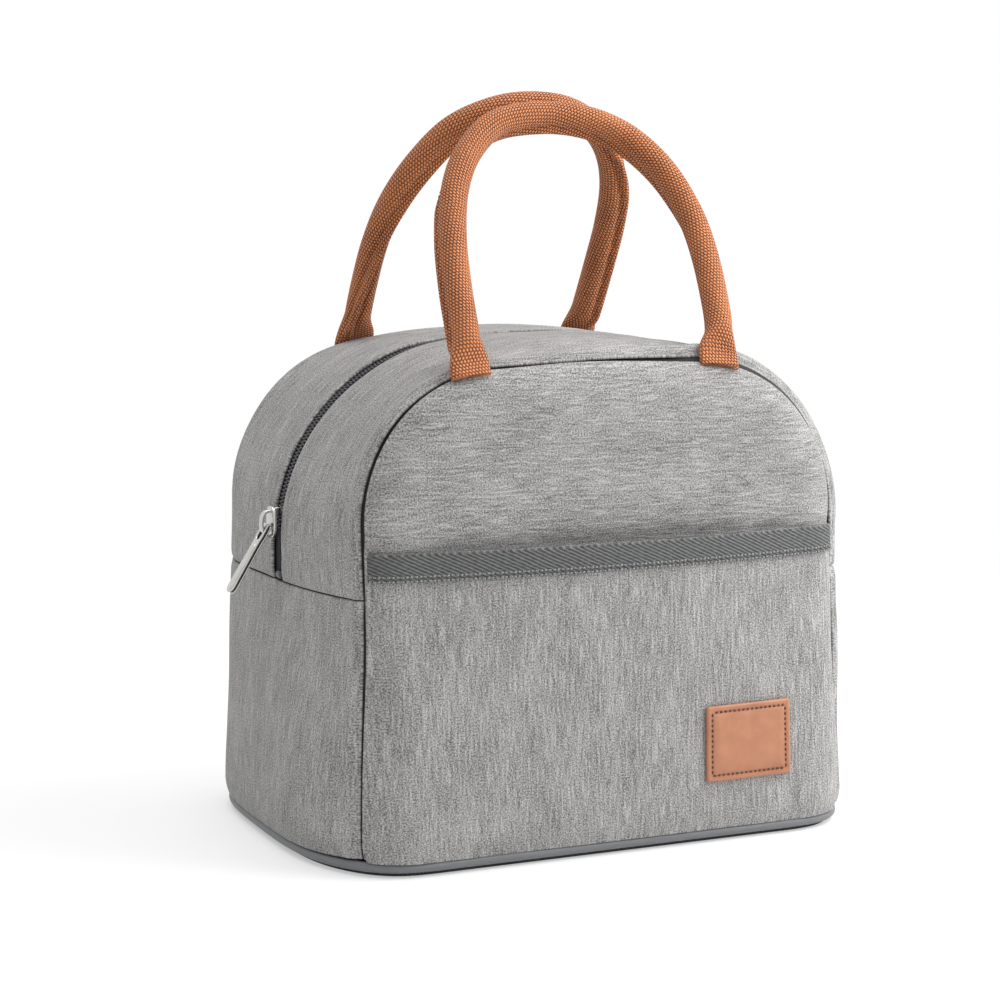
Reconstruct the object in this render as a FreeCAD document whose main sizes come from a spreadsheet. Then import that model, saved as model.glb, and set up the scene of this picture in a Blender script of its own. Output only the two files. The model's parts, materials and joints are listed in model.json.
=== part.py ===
# Insulated lunch bag: padded walls, zipped mouth in two halves, slip pocket and two rolled handles.
# Frame: X across the front, Y from front (-) to back (+), Z up.
# The origin is the middle of the base, on the floor.
import FreeCAD, Part
import math
import os
import Sketcher
from FreeCAD import Vector

os.makedirs("parts", exist_ok=True)
doc = FreeCAD.newDocument("lunch_bag")
sheet = doc.addObject("Spreadsheet::Sheet", "Sizes")
parts = []

# Sizes in millimetres.
SIZES = (
    ("bag_width", 213, "outside of the cloth, left to right"),
    ("bag_depth", 164, "outside of the cloth, front to back, at the floor"),
    ("face_lean", 3.8, "front and back lean in towards the top, degrees"),
    ("bag_height", 192, "floor to the top of the zip line"),
    ("shoulder_radius", 68, "arch of the gusset at the two upper corners"),
    ("crown_radius", 300, "shallow arch of the gusset along the top"),
    ("edge_round", 26, "soft edge between gusset and front or back"),
    ("seam_inset", 8, "panel seam behind the face of the front or back"),
    ("seam_gap", 0.3, "slit between two cloth panels at a seam"),
    ("cloth", 1.2, "heather cloth with its backing"),
    ("foam", 4, "closed-cell foam sheet"),
    ("lining", 0.6, "metallised film lining"),
    ("layer_gap", 0.15, "play between one layer and the next"),
    ("fold_height", 122, "level at which the two mouth halves hinge"),
    ("fold_gap", 0.4, "slit between a mouth half and the lower bag"),
    ("zip_end_drop", 22, "zip end below the fold"),
    ("base_thick", 1.5, "base panel"),
    ("board_thick", 2.5, "stiffening board"),
    ("piping_radius", 1.8, "piping round the base"),
    ("piping_inset", 1, "middle of the piping inside the edge of the base"),
    ("zip_opening", 10, "bare width of the zip between the gussets"),
    ("tape_lap", 3, "zip tape sewn under each gusset edge"),
    ("tape_thick", 0.6, "zip tape"),
    ("tape_slit", 1.6, "slit between the two tapes"),
    ("channel_play", 0.5, "foam and lining end short of the tape"),
    ("coil_slit", 2, "slit between the two coil rows"),
    ("coil_width", 2.4, "one coil row"),
    ("coil_height", 1.8, "coil row above its tape"),
    ("stop_length", 4, "end stop along the zip"),
    ("pocket_drop", 4, "pocket mouth below the fold"),
    ("pocket_slack", 7, "middle of the pocket off the panel at its mouth"),
    ("pocket_foot_slack", 0.6, "middle of the pocket off the panel at its foot"),
    ("pocket_gap", 0.3, "pocket cloth off the front panel at its edges"),
    ("hem_height", 10.5, "webbing along the pocket mouth"),
    ("hem_thick", 1.2, "webbing along the pocket mouth"),
    ("patch_width", 37.5, "leather patch"),
    ("patch_height", 29, "leather patch"),
    ("patch_thick", 1.6, "leather patch"),
    ("patch_edge", 52.5, "patch centre in from the right side of the bag"),
    ("patch_up", 38.5, "patch centre above the floor"),
    ("handle_rise", 107, "handle hinge to the top of its centre line"),
    ("handle_spread", 104, "between the centre lines of the two legs"),
    ("handle_tube", 10.8, "rolled handle across"),
    ("handle_wall", 1.8, "webbing of the handle"),
    ("handle_apart", 2.4, "gap between the two handles at the top"),
    ("foot_width", 16, "flat foot of a handle"),
    ("foot_thick", 4, "flat foot of a handle"),
    ("foot_flat", 8, "length of the flat foot"),
    ("foot_taper", 12, "length over which the foot turns round"),
    ("foot_play", 0.7, "handle foot above the seam"),
    ("slider_length", 15, "zip slider along the zip"),
    ("slider_width", 10.5, "zip slider across the zip where it is widest"),
    ("slider_tail", 7.4, "zip slider across its lower end"),
    ("slider_head", 6.4, "zip slider across its upper end"),
    ("slider_flare", 3, "widest place of the slider above its middle"),
    ("slider_rise", 20.8, "middle of the slider above the end of the zip"),
    ("slider_plate", 1.3, "each plate of the slider"),
    ("slider_play", 0.5, "slider plates off coil and tape"),
    ("post_width", 0.6, "post between the slider plates"),
    ("post_length", 4, "post between the slider plates"),
    ("bail_width", 2.6, "bridge that holds the pull tab"),
    ("bail_span", 12.8, "bridge along the slider"),
    ("bail_thick", 1.2, "bridge that holds the pull tab"),
    ("tab_length", 29, "pull tab from its pivot"),
    ("tab_width", 7.6, "pull tab"),
    ("tab_thick", 1.8, "pull tab and its pivot bar"),
    ("tab_rail", 1.6, "each rail beside the slot of the tab"),
    ("tab_slot", 8, "slot of the tab from its pivot"),
    ("tab_waist", 5.4, "pull tab across its waist"),
    ("tab_waist_drop", 2, "waist of the tab past its slot"),
    ("tab_play", 0.4, "pivot bar off the slider"),
    ("tab_lean", 32, "tab off the zip, degrees"),
    ("reach", 20, "how far cutting blocks pass the bag"),
)
for row, (alias, number, note) in enumerate(SIZES, 1):
    sheet.set(f"A{row}", alias)
    sheet.set(f"B{row}", str(number))
    sheet.set(f"C{row}", note)
    sheet.setAlias(f"B{row}", alias)
doc.recompute()

# Levels and places that several pieces share, as expressions on the sizes.
HALF_WIDTH = "(Sizes.bag_width / 2)"
HALF_DEPTH = "(Sizes.bag_depth / 2)"
CROWN_Z = "(Sizes.bag_height - Sizes.crown_radius)"
CENTRE_STEP = "(Sizes.crown_radius - Sizes.shoulder_radius)"
SHOULDER_X = f"({HALF_WIDTH} - Sizes.shoulder_radius)"
SHOULDER_RISE = f"(sqrt({CENTRE_STEP} ^ 2 - {SHOULDER_X} ^ 2))"
SHOULDER_Z = f"({CROWN_Z} + {SHOULDER_RISE})"
UNDER_CLOTH = "Sizes.cloth"
FOAM_OUT = f"({UNDER_CLOTH} + Sizes.layer_gap)"
FOAM_IN = f"({FOAM_OUT} + Sizes.foam)"
LINING_OUT = f"({FOAM_IN} + Sizes.layer_gap)"
LINING_IN = f"({LINING_OUT} + Sizes.lining)"
FLOOR_EDGE = f"({LINING_IN} + Sizes.layer_gap)"
TAPE_IN = f"({FOAM_OUT} + Sizes.tape_thick)"
COIL_TOP = "(Sizes.cloth - Sizes.coil_height)"
WALL_FOOT = "(Sizes.base_thick + 2 * Sizes.piping_radius + 2 * Sizes.layer_gap)"
FOLD_LOW = "(Sizes.fold_height - Sizes.fold_gap / 2)"
FOLD_HIGH = "(Sizes.fold_height + Sizes.fold_gap / 2)"
ZIP_END = "(Sizes.fold_height - Sizes.zip_end_drop)"
SLIDER_Z = f"({ZIP_END} + Sizes.slider_rise)"
SLIDER_TURN = f"asin(max({SLIDER_Z} - {SHOULDER_Z}; 0) / Sizes.shoulder_radius)"
SLIDER_FACE = f"(Sizes.slider_play + Sizes.slider_plate - {COIL_TOP})"
TAPE_EDGE = "(Sizes.zip_opening / 2 + Sizes.tape_lap)"
CHANNEL = f"({TAPE_EDGE} + Sizes.channel_play)"
POCKET_TOP = "(Sizes.fold_height - Sizes.pocket_drop)"
POCKET_FOOT = f"({WALL_FOOT} + Sizes.edge_round * tan(Sizes.face_lean))"
FLAT_X = f"({HALF_WIDTH} - Sizes.edge_round)"
PATCH_X = f"({HALF_WIDTH} - Sizes.patch_edge)"
SIDE_TO_SIDE = (f"-{HALF_WIDTH} - Sizes.reach", f"{HALF_WIDTH} + Sizes.reach")
TOP = "Sizes.bag_height + Sizes.reach"
HALF_GAP = "(Sizes.seam_gap / 2)"
LEFT_HALF = (SIDE_TO_SIDE[0], "0")
RIGHT_HALF = ("0", SIDE_TO_SIDE[1])


def value(expression):
    """The number that an expression on the sizes comes to."""
    return float(sheet.evalExpression(expression))


def part(piece, label):
    """Name a finished piece and put it on the list to be written."""
    piece.Label = label
    parts.append(piece)
    return piece


def block(name, across, along, upright):
    """A box between low and high limits on X, Y and Z."""
    box = doc.addObject("Part::Box", name)
    limits = zip(("Length", "Width", "Height"), "xyz", (across, along, upright))
    for side, axis, (low, high) in limits:
        box.setExpression(side, f"({high}) - ({low})")
        box.setExpression(f"Placement.Base.{axis}", low)
    return box


def boolean(kind, name, base, tool):
    """Part::Cut or Part::Common of two objects."""
    result = doc.addObject(f"Part::{kind}", name)
    result.Base = base
    result.Tool = tool
    return result


def joined(name, pieces):
    """One object made of several pieces."""
    result = doc.addObject("Part::MultiFuse", name)
    result.Shapes = pieces
    return result


def new_body(name):
    return doc.addObject("PartDesign::Body", name)


def new_sketch(body, name, role, offset=None):
    """A sketch on one of the body's origin planes, moved off that plane by an expression."""
    sketch = body.newObject("Sketcher::SketchObject", name)
    plane = [item for item in body.Origin.OriginFeatures if item.Role == role][0]
    sketch.AttachmentSupport = [(plane, "")]
    sketch.MapMode = "FlatFace"
    if offset:
        sketch.setExpression("AttachmentOffset.Base.z", offset)
    return sketch


def fix_point(sketch, curve, end, x, y):
    """Tie an end of a curve to expressions for its two sketch coordinates."""
    for kind, axis, expression in (("DistanceX", -2, x), ("DistanceY", -1, y)):
        number = value(expression)
        if abs(number) < 1e-9:
            sketch.addConstraint(Sketcher.Constraint("PointOnObject", curve, end, axis))
            continue
        index = sketch.addConstraint(Sketcher.Constraint(kind, -1, 1, curve, end, number))
        sketch.setExpression(f"Constraints[{index}]", expression)


def arc_between(start, end, radius, turn):
    """Arc from start to end; turn is 1 for a left-hand bend, -1 for a right-hand one."""
    chord = end - start
    rise = math.sqrt(radius ** 2 - chord.Length ** 2 / 4)
    side = Vector(-chord.y, chord.x, 0).normalize()
    centre = (start + end) / 2 + side * rise * turn
    first, last = (start, end) if turn > 0 else (end, start)
    angles = [math.atan2(point.y - centre.y, point.x - centre.x) for point in (first, last)]
    return Part.ArcOfCircle(Part.Circle(centre, Vector(0, 0, 1), radius), *angles)


def draw(sketch, corners, bends, closed=True):
    """Lines and arcs through corners; bends gives the radius and turn of the arc that leaves a corner."""
    points = [Vector(value(x), value(y), 0) for x, y in corners]
    count = len(corners) if closed else len(corners) - 1
    ends = []
    for index in range(count):
        start, end = points[index], points[(index + 1) % len(points)]
        radius, turn = bends.get(index, (None, 1))
        if radius:
            curve = sketch.addGeometry(arc_between(start, end, value(radius), turn))
        else:
            curve = sketch.addGeometry(Part.LineSegment(start, end))
        ends.append((curve, 1, 2) if turn > 0 else (curve, 2, 1))
    for index in range(count):
        curve, start, end = ends[index]
        if index or closed:
            before = ends[index - 1]
            sketch.addConstraint(Sketcher.Constraint("Coincident", before[0], before[2], curve, start))
        fix_point(sketch, curve, start, *corners[index])
    if not closed:
        fix_point(sketch, ends[-1][0], ends[-1][2], *corners[-1])
    for index, (radius, turn) in bends.items():
        curve = ends[index][0]
        row = sketch.addConstraint(Sketcher.Constraint("Radius", curve, value(radius)))
        sketch.setExpression(f"Constraints[{row}]", radius)
    return sketch


def draw_circle(sketch, radius):
    """Circle about the sketch origin."""
    curve = sketch.addGeometry(Part.Circle(Vector(0, 0, 0), Vector(0, 0, 1), value(radius)))
    sketch.addConstraint(Sketcher.Constraint("Coincident", curve, 3, -1, 1))
    row = sketch.addConstraint(Sketcher.Constraint("Radius", curve, value(radius)))
    sketch.setExpression(f"Constraints[{row}]", radius)
    return sketch


def new_pad(body, sketch, length, symmetric=False):
    pad = body.newObject("PartDesign::Pad", f"{sketch.Name}_pad")
    pad.Profile = sketch
    pad.SideType = "Symmetric" if symmetric else "One side"
    pad.setExpression("Length", length)
    return pad


def new_pipe(body, profile, spine, subtract=False):
    kind = "SubtractivePipe" if subtract else "AdditivePipe"
    pipe = body.newObject(f"PartDesign::{kind}", f"{profile.Name}_pipe")
    pipe.Profile = profile
    pipe.Spine = (spine, [])
    pipe.Mode = "Frenet"
    return pipe


def new_fillet(body, feature, radius, wanted):
    """Round the edges of a feature for which wanted(edge) holds."""
    doc.recompute()
    names = [f"Edge{index}" for index, edge in enumerate(feature.Shape.Edges, 1) if wanted(edge)]
    fillet = body.newObject("PartDesign::Fillet", f"{feature.Name}_round")
    fillet.Base = (feature, names)
    fillet.setExpression("Radius", radius)
    return fillet


def placed(piece, x, y, z):
    for axis, expression in zip("xyz", (x, y, z)):
        piece.setExpression(f"Placement.Base.{axis}", expression)


def face_y(level, inset="0"):
    """Distance of the leaning front and back faces from the middle at a level, taken in by inset."""
    return f"({HALF_DEPTH} - ({level}) * tan(Sizes.face_lean) - ({inset}) / cos(Sizes.face_lean))"


def seam_y(level, gap="0"):
    """Distance of the panel seams from the middle at a level."""
    return face_y(level, f"Sizes.seam_inset - ({gap})")


def zone(name, across, front, rear, low, high):
    """Prism along X between two levels; front and rear give its limits on Y at a level."""
    corners = ((front(low), low), (rear(low), low), (rear(high), high), (front(high), high))
    body = new_body(name)
    sketch = draw(new_sketch(body, f"{name}_side", "YZ_Plane", across[0]), corners, {})
    new_pad(body, sketch, f"({across[1]}) - ({across[0]})")
    return body


def envelope(name, inset):
    """The form of the whole bag taken in by inset: an arched outline padded front to back, its two ends
    cut to the lean of the faces and their edges rounded."""
    side = f"({HALF_WIDTH} - {inset})"
    share = f"((Sizes.crown_radius - {inset}) / {CENTRE_STEP})"
    bend_x = f"({SHOULDER_X} * {share})"
    bend_z = f"({CROWN_Z} + {SHOULDER_RISE} * {share})"
    shoulder = (f"Sizes.shoulder_radius - {inset}", 1)
    corners = (
        (f"-{side}", "0"),
        (side, "0"),
        (side, SHOULDER_Z),
        (bend_x, bend_z),
        (f"-{bend_x}", bend_z),
        (f"-{side}", SHOULDER_Z),
    )
    bends = {2: shoulder, 3: (f"Sizes.crown_radius - {inset}", 1), 4: shoulder}
    body = new_body(name)
    sketch = draw(new_sketch(body, f"{name}_outline", "XZ_Plane"), corners, bends)
    new_pad(body, sketch, "Sizes.bag_depth + Sizes.reach", symmetric=True)
    ends = new_sketch(body, f"{name}_ends", "YZ_Plane")
    far = f"({HALF_DEPTH} + 2 * Sizes.reach)"
    low, high = "-Sizes.reach", TOP
    for sign in ("-", ""):
        near_low, near_high = f"{sign}{face_y(low, inset)}", f"{sign}{face_y(high, inset)}"
        draw(ends, ((near_low, low), (f"{sign}{far}", low), (f"{sign}{far}", high), (near_high, high)), {})
    cut = body.newObject("PartDesign::Pocket", f"{name}_ends_cut")
    cut.Profile = ends
    cut.SideType = "Symmetric"
    cut.setExpression("Length", "2 * Sizes.bag_width")

    def on_outline(edge):
        points = edge.discretize(3)
        on_face = all(abs(abs(point.y) - value(face_y(str(point.z), inset))) < 1e-5 for point in points)
        return on_face and points[1].z > 1e-5

    new_fillet(body, cut, f"Sizes.edge_round - {inset}", on_outline)
    return body


def shell(name, outer, inner):
    return boolean("Cut", name, outer, inner)


def level_at(limit):
    """A limit on Y that is the same at every level."""
    return lambda level: limit


def far_front(level):
    return f"-{HALF_DEPTH} - Sizes.reach"


def far_rear(level):
    return f"{HALF_DEPTH} + Sizes.reach"


def front_seam(level):
    return f"-{seam_y(level, HALF_GAP)}"


def rear_seam(level):
    return seam_y(level, HALF_GAP)


def gusset_front(level):
    return f"-{seam_y(level, '-' + HALF_GAP)}"


def gusset_rear(level):
    return seam_y(level, "-" + HALF_GAP)


def wall_set(layer, skin, inner_edge):
    """The panels of one layer, cut from its shell; inner_edge is where the gusset stops beside the zip."""
    front = (far_front, front_seam)
    rear = (rear_seam, far_rear)
    front_strip = (gusset_front, level_at(f"-{inner_edge}"))
    rear_strip = (level_at(inner_edge), gusset_rear)
    lower = (WALL_FOOT, FOLD_LOW)
    upper = (FOLD_HIGH, TOP)
    pieces = {
        f"front_{layer}_lower": (*front, *lower),
        f"rear_{layer}_lower": (*rear, *lower),
        f"front_{layer}_upper": (*front, *upper),
        f"rear_{layer}_upper": (*rear, *upper),
        f"front_gusset_{layer}": (*front_strip, *upper),
        f"rear_gusset_{layer}": (*rear_strip, *upper),
    }
    for label, limits in pieces.items():
        part(boolean("Common", label, skin, zone(f"{label}_zone", SIDE_TO_SIDE, *limits)), label)


def side_sheets(layer, skin):
    """Left and right sheets of an inner layer, up to the fold, notched where the zip comes down."""
    for name, across in (("left", LEFT_HALF), ("right", RIGHT_HALF)):
        label = f"{name}_{layer}"
        whole = zone(f"{label}_zone", across, gusset_front, gusset_rear, WALL_FOOT, FOLD_LOW)
        notch = block(f"{label}_notch", across, (f"-{CHANNEL}", CHANNEL), (ZIP_END, TOP))
        notched = boolean("Cut", f"{label}_zone_cut", whole, notch)
        part(boolean("Common", label, skin, notched), label)


def cloth_walls(skin):
    """Heather cloth: the panels, with side panels below the cross seam and gusset ends above it."""
    slot = "(Sizes.zip_opening / 2)"
    wall_set("panel", skin, slot)
    sides = (WALL_FOOT, f"{ZIP_END} - {HALF_GAP}")
    ends = (f"{ZIP_END} + {HALF_GAP}", FOLD_LOW)
    pieces = {
        "left_side_panel": (LEFT_HALF, gusset_front, gusset_rear, *sides),
        "right_side_panel": (RIGHT_HALF, gusset_front, gusset_rear, *sides),
        "front_gusset_ends": (SIDE_TO_SIDE, gusset_front, level_at(f"-{slot}"), *ends),
        "rear_gusset_ends": (SIDE_TO_SIDE, level_at(slot), gusset_rear, *ends),
    }
    for label, limits in pieces.items():
        part(boolean("Common", label, skin, zone(f"{label}_zone", *limits)), label)


def base(outer, inner):
    """Base panel on the floor, and board, foam and lining inside the walls."""
    panel_top = "Sizes.base_thick"
    board = (f"{panel_top} + Sizes.layer_gap", f"{panel_top} + Sizes.layer_gap + Sizes.board_thick")
    foam = (f"{board[1]} + Sizes.layer_gap", f"{board[1]} + Sizes.layer_gap + Sizes.foam")
    lining = (f"{foam[1]} + Sizes.layer_gap", f"{foam[1]} + Sizes.layer_gap + Sizes.lining")
    everywhere = (f"-{HALF_DEPTH} - Sizes.reach", f"{HALF_DEPTH} + Sizes.reach")
    stack = (
        ("base_panel", outer, ("0", panel_top)),
        ("base_board", inner, board),
        ("base_foam", inner, foam),
        ("base_lining", inner, lining),
    )
    for label, form, upright in stack:
        slab = block(f"{label}_zone", SIDE_TO_SIDE, everywhere, upright)
        part(boolean("Common", label, form, slab), label)


def base_piping():
    """Round piping that follows the outline of the base."""
    flat_y = f"({HALF_DEPTH} - Sizes.edge_round)"
    edge_x = f"({HALF_WIDTH} - Sizes.piping_inset)"
    edge_y = f"({HALF_DEPTH} - Sizes.piping_inset)"
    corners = (
        ("0", f"-{edge_y}"),
        (FLAT_X, f"-{edge_y}"),
        (edge_x, f"-{flat_y}"),
        (edge_x, flat_y),
        (FLAT_X, edge_y),
        (f"-{FLAT_X}", edge_y),
        (f"-{edge_x}", flat_y),
        (f"-{edge_x}", f"-{flat_y}"),
        (f"-{FLAT_X}", f"-{edge_y}"),
    )
    bend = ("(Sizes.edge_round - Sizes.piping_inset)", 1)
    body = new_body("base_piping")
    spine = draw(new_sketch(body, "piping_path", "XY_Plane"), corners, {1: bend, 3: bend, 5: bend, 7: bend})
    ring = new_sketch(body, "piping_section", "YZ_Plane")
    ring.setExpression("AttachmentOffset.Base.x", f"-{edge_y}")
    new_pipe(body, draw_circle(ring, "Sizes.piping_radius"), spine)
    placed(body, "0", "0", "Sizes.base_thick + Sizes.layer_gap + Sizes.piping_radius")
    part(body, "base_piping")


def slack_at(level):
    """How far the middle of the pocket stands out at a level, from almost nothing at its foot."""
    share = f"(({level} - {POCKET_FOOT}) / ({POCKET_TOP} - {POCKET_FOOT}))"
    return f"(Sizes.pocket_foot_slack + (Sizes.pocket_slack - Sizes.pocket_foot_slack) * {share})"


def pocket_plan(body, name, height, off, thick, slack):
    """Plan of a sheet over the lower front from seam to seam, drawn with the front face on the X axis;
    off is how far its edges stand off the panel and slack how far its middle does beyond that."""
    drop = "(Sizes.edge_round - Sizes.seam_inset + Sizes.seam_gap)"
    bow = f"(({FLAT_X} ^ 2 + {slack} ^ 2) / (2 * {slack}))"
    near = f"(Sizes.edge_round + {off})"
    far = f"(Sizes.edge_round + {off} + {thick})"
    near_x = f"({FLAT_X} + sqrt({near} ^ 2 - {drop} ^ 2))"
    far_x = f"({FLAT_X} + sqrt({far} ^ 2 - {drop} ^ 2))"
    seam = f"(Sizes.edge_round - {drop})"
    corners = (
        (f"-{far_x}", seam),
        (f"-{FLAT_X}", f"-({off} + {thick})"),
        (FLAT_X, f"-({off} + {thick})"),
        (far_x, seam),
        (near_x, seam),
        (FLAT_X, f"-{off}"),
        (f"-{FLAT_X}", f"-{off}"),
        (f"-{near_x}", seam),
    )
    bends = {0: (far, 1), 1: (bow, 1), 2: (far, 1), 4: (near, -1), 5: (bow, -1), 6: (near, -1)}
    return draw(new_sketch(body, name, "XY_Plane", height), corners, bends)


def lean_to_front(body, level, lean="Sizes.face_lean"):
    """Stand a body, drawn with the front face on its X axis, against the leaning front at a level."""
    body.setExpression("Placement.Rotation.Angle", lean)
    body.Placement.Rotation.Axis = Vector(-1, 0, 0)
    placed(body, "0", f"-{face_y(level)}", level)


def pocket_sheet(label, off, thick, low):
    """A sheet of the pocket from a level up to the mouth, slacker towards the mouth."""
    body = new_body(label)
    rise = f"(({POCKET_TOP} - {low}) / cos(Sizes.face_lean))"
    foot = pocket_plan(body, f"{label}_foot", "0", off, thick, slack_at(low))
    mouth = pocket_plan(body, f"{label}_mouth", rise, off, thick, slack_at(POCKET_TOP))
    loft = body.newObject("PartDesign::AdditiveLoft", f"{label}_loft")
    loft.Profile = foot
    loft.Sections = [mouth]
    lean_to_front(body, low)
    part(body, label)


def pocket():
    """Slip pocket on the lower front, with webbing along its mouth."""
    pocket_sheet("pocket_panel", "Sizes.pocket_gap", "Sizes.cloth", POCKET_FOOT)
    off = "(Sizes.pocket_gap + Sizes.cloth + Sizes.layer_gap)"
    pocket_sheet("pocket_hem", off, "Sizes.hem_thick", f"({POCKET_TOP} - Sizes.hem_height)")


def patch():
    """Leather patch laid flat against the cloth of the pocket."""
    slack = slack_at("Sizes.patch_up")
    share = f"(1 - ({PATCH_X} / {FLAT_X}) ^ 2)"
    stand = f"(Sizes.pocket_gap + Sizes.cloth + {slack} * {share} + 2 * Sizes.layer_gap)"
    turn = f"atan(2 * {PATCH_X} * {slack} / {FLAT_X} ^ 2)"
    growth = f"((Sizes.pocket_slack - Sizes.pocket_foot_slack) / ({POCKET_TOP} - {POCKET_FOOT}))"
    half = "(Sizes.patch_width / 2)"
    tall = "(Sizes.patch_height / 2)"
    corners = ((f"-{half}", f"-{tall}"), (half, f"-{tall}"), (half, tall), (f"-{half}", tall))
    body = new_body("patch")
    face = draw(new_sketch(body, "patch_face", "XZ_Plane", stand), corners, {})
    face.setExpression("AttachmentOffset.Base.x", PATCH_X)
    face.setExpression("AttachmentOffset.Rotation.Angle", turn)
    face.AttachmentOffset.Rotation.Axis = Vector(0, 1, 0)
    pad = new_pad(body, face, "Sizes.patch_thick")

    def corner(edge):
        return abs(edge.Length - value("Sizes.patch_thick")) < 1e-6

    new_fillet(body, pad, "Sizes.patch_thick", corner)
    lean_to_front(body, "Sizes.patch_up", f"Sizes.face_lean * 1deg - atan({growth} * {share})")
    part(body, "patch")


def zip_strips(tape_skin, coil_skin):
    """Both zip tapes and coil rows along the arch, the tape ends below the fold and the two end stops."""
    slit = "(Sizes.tape_slit / 2)"
    coil = ("(Sizes.coil_slit / 2)", "(Sizes.coil_slit / 2 + Sizes.coil_width)")
    upper = (FOLD_HIGH, TOP)
    strips = {
        "front_zip_tape": (tape_skin, (f"-{TAPE_EDGE}", f"-{slit}"), upper),
        "rear_zip_tape": (tape_skin, (slit, TAPE_EDGE), upper),
        "front_zip_coil": (coil_skin, (f"-{coil[1]}", f"-{coil[0]}"), upper),
        "rear_zip_coil": (coil_skin, coil, upper),
    }
    for label, (skin, along, upright) in strips.items():
        zone = block(f"{label}_zone", SIDE_TO_SIDE, along, upright)
        part(boolean("Common", label, skin, zone), label)
    ends = []
    for name, along in (("front", (f"-{TAPE_EDGE}", f"-{slit}")), ("rear", (slit, TAPE_EDGE))):
        zone = block(f"{name}_tape_end_zone", SIDE_TO_SIDE, along, (ZIP_END, FOLD_LOW))
        ends.append(boolean("Common", f"{name}_tape_end", tape_skin, zone))
    part(joined("zip_tape_ends", ends), "zip_tape_ends")
    stop = (f"{ZIP_END} + Sizes.seam_gap", f"{ZIP_END} + Sizes.seam_gap + Sizes.stop_length")
    zone = block("zip_stop_zone", SIDE_TO_SIDE, (f"-{coil[1]}", coil[1]), stop)
    part(boolean("Common", "zip_end_stops", coil_skin, zone), "zip_end_stops")


def handle(name, side):
    """A rolled handle with flat feet, and the cord inside it; side is -1 at the front and 1 at the back."""
    tube = "(Sizes.handle_tube / 2)"
    core = f"({tube} - Sizes.handle_wall)"
    leg = "(Sizes.handle_spread / 2)"
    neck = "(Sizes.foot_flat + Sizes.foot_taper)"
    bend_z = f"(Sizes.handle_rise - {leg})"
    path = ((leg, neck), (leg, bend_z), ("0", "Sizes.handle_rise"), (f"-{leg}", bend_z), (f"-{leg}", neck))
    bends = {1: (leg, 1), 2: (leg, 1)}
    half = "(Sizes.foot_thick / 2)"
    run = f"(Sizes.foot_width / 2 - {half})"
    body = new_body(f"{name}_webbing")

    def foot_section(label, level, reach, radius):
        """Rounded slot across the leg; reach is half its straight length."""
        sketch = new_sketch(body, f"{name}_{label}", "XY_Plane", level)
        low, high = f"({leg} - {reach})", f"({leg} + {reach})"
        corners = (
            (low, f"-{radius}"),
            (high, f"-{radius}"),
            (f"({high} + {radius})", "0"),
            (high, radius),
            (low, radius),
            (f"({low} - {radius})", "0"),
        )
        bend = (radius, 1)
        return draw(sketch, corners, {1: bend, 2: bend, 4: bend, 5: bend})

    bead = new_sketch(body, f"{name}_bead", "YZ_Plane", f"{leg} - {run}")
    bead_pad = new_pad(body, draw_circle(bead, half), f"2 * {run}")
    flat = foot_section("flat", "0", run, half)
    flat_pad = new_pad(body, flat, "Sizes.foot_flat")
    low = foot_section("taper_low", "Sizes.foot_flat", run, half)
    high = foot_section("taper_high", neck, "(Sizes.handle_wall / 8)", f"({tube} - Sizes.handle_wall / 4)")
    taper = body.newObject("PartDesign::AdditiveLoft", f"{name}_taper")
    taper.Profile = low
    taper.Sections = [high]
    mirror = body.newObject("PartDesign::Mirrored", f"{name}_other_foot")
    mirror.Originals = [bead_pad, flat_pad, taper]
    plane = [item for item in body.Origin.OriginFeatures if item.Role == "YZ_Plane"][0]
    mirror.MirrorPlane = (plane, [""])
    body.Tip = mirror
    spine = draw(new_sketch(body, f"{name}_path", "XZ_Plane"), path, bends, closed=False)
    section = new_sketch(body, f"{name}_section", "XY_Plane", neck)
    section.setExpression("AttachmentOffset.Base.x", leg)
    new_pipe(body, draw_circle(section, tube), spine)
    hollow = new_sketch(body, f"{name}_hollow", "XY_Plane", neck)
    hollow.setExpression("AttachmentOffset.Base.x", leg)
    new_pipe(body, draw_circle(hollow, core), spine, subtract=True)
    cord = new_body(f"{name}_core")
    cord_spine = draw(new_sketch(cord, f"{name}_cord_path", "XZ_Plane"), path, bends, closed=False)
    cord_section = new_sketch(cord, f"{name}_cord_section", "XY_Plane", neck)
    cord_section.setExpression("AttachmentOffset.Base.x", leg)
    new_pipe(cord, draw_circle(cord_section, f"{core} - Sizes.layer_gap"), cord_spine)
    seam_turn = "acos(1 - Sizes.seam_inset / Sizes.edge_round)"
    roll = f"(Sizes.edge_round * (1 - sin({seam_turn} + Sizes.face_lean * 1deg)))"
    inner_x = f"({leg} - Sizes.foot_width / 2)"
    seat = f"({CROWN_Z} + sqrt((Sizes.crown_radius - {roll}) ^ 2 - {inner_x} ^ 2))"
    lean = f"asin(({seam_y(seat)} - {tube} - Sizes.handle_apart / 2) / Sizes.handle_rise)"
    for piece, label in ((body, f"{name}_webbing"), (cord, f"{name}_core")):
        piece.setExpression("Placement.Rotation.Angle", lean)
        piece.Placement.Rotation.Axis = Vector(side, 0, 0)
        placed(piece, "0", f"{side} * {seam_y(seat)}", f"{seat} + {half} + Sizes.foot_play")
        part(piece, label)


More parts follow.
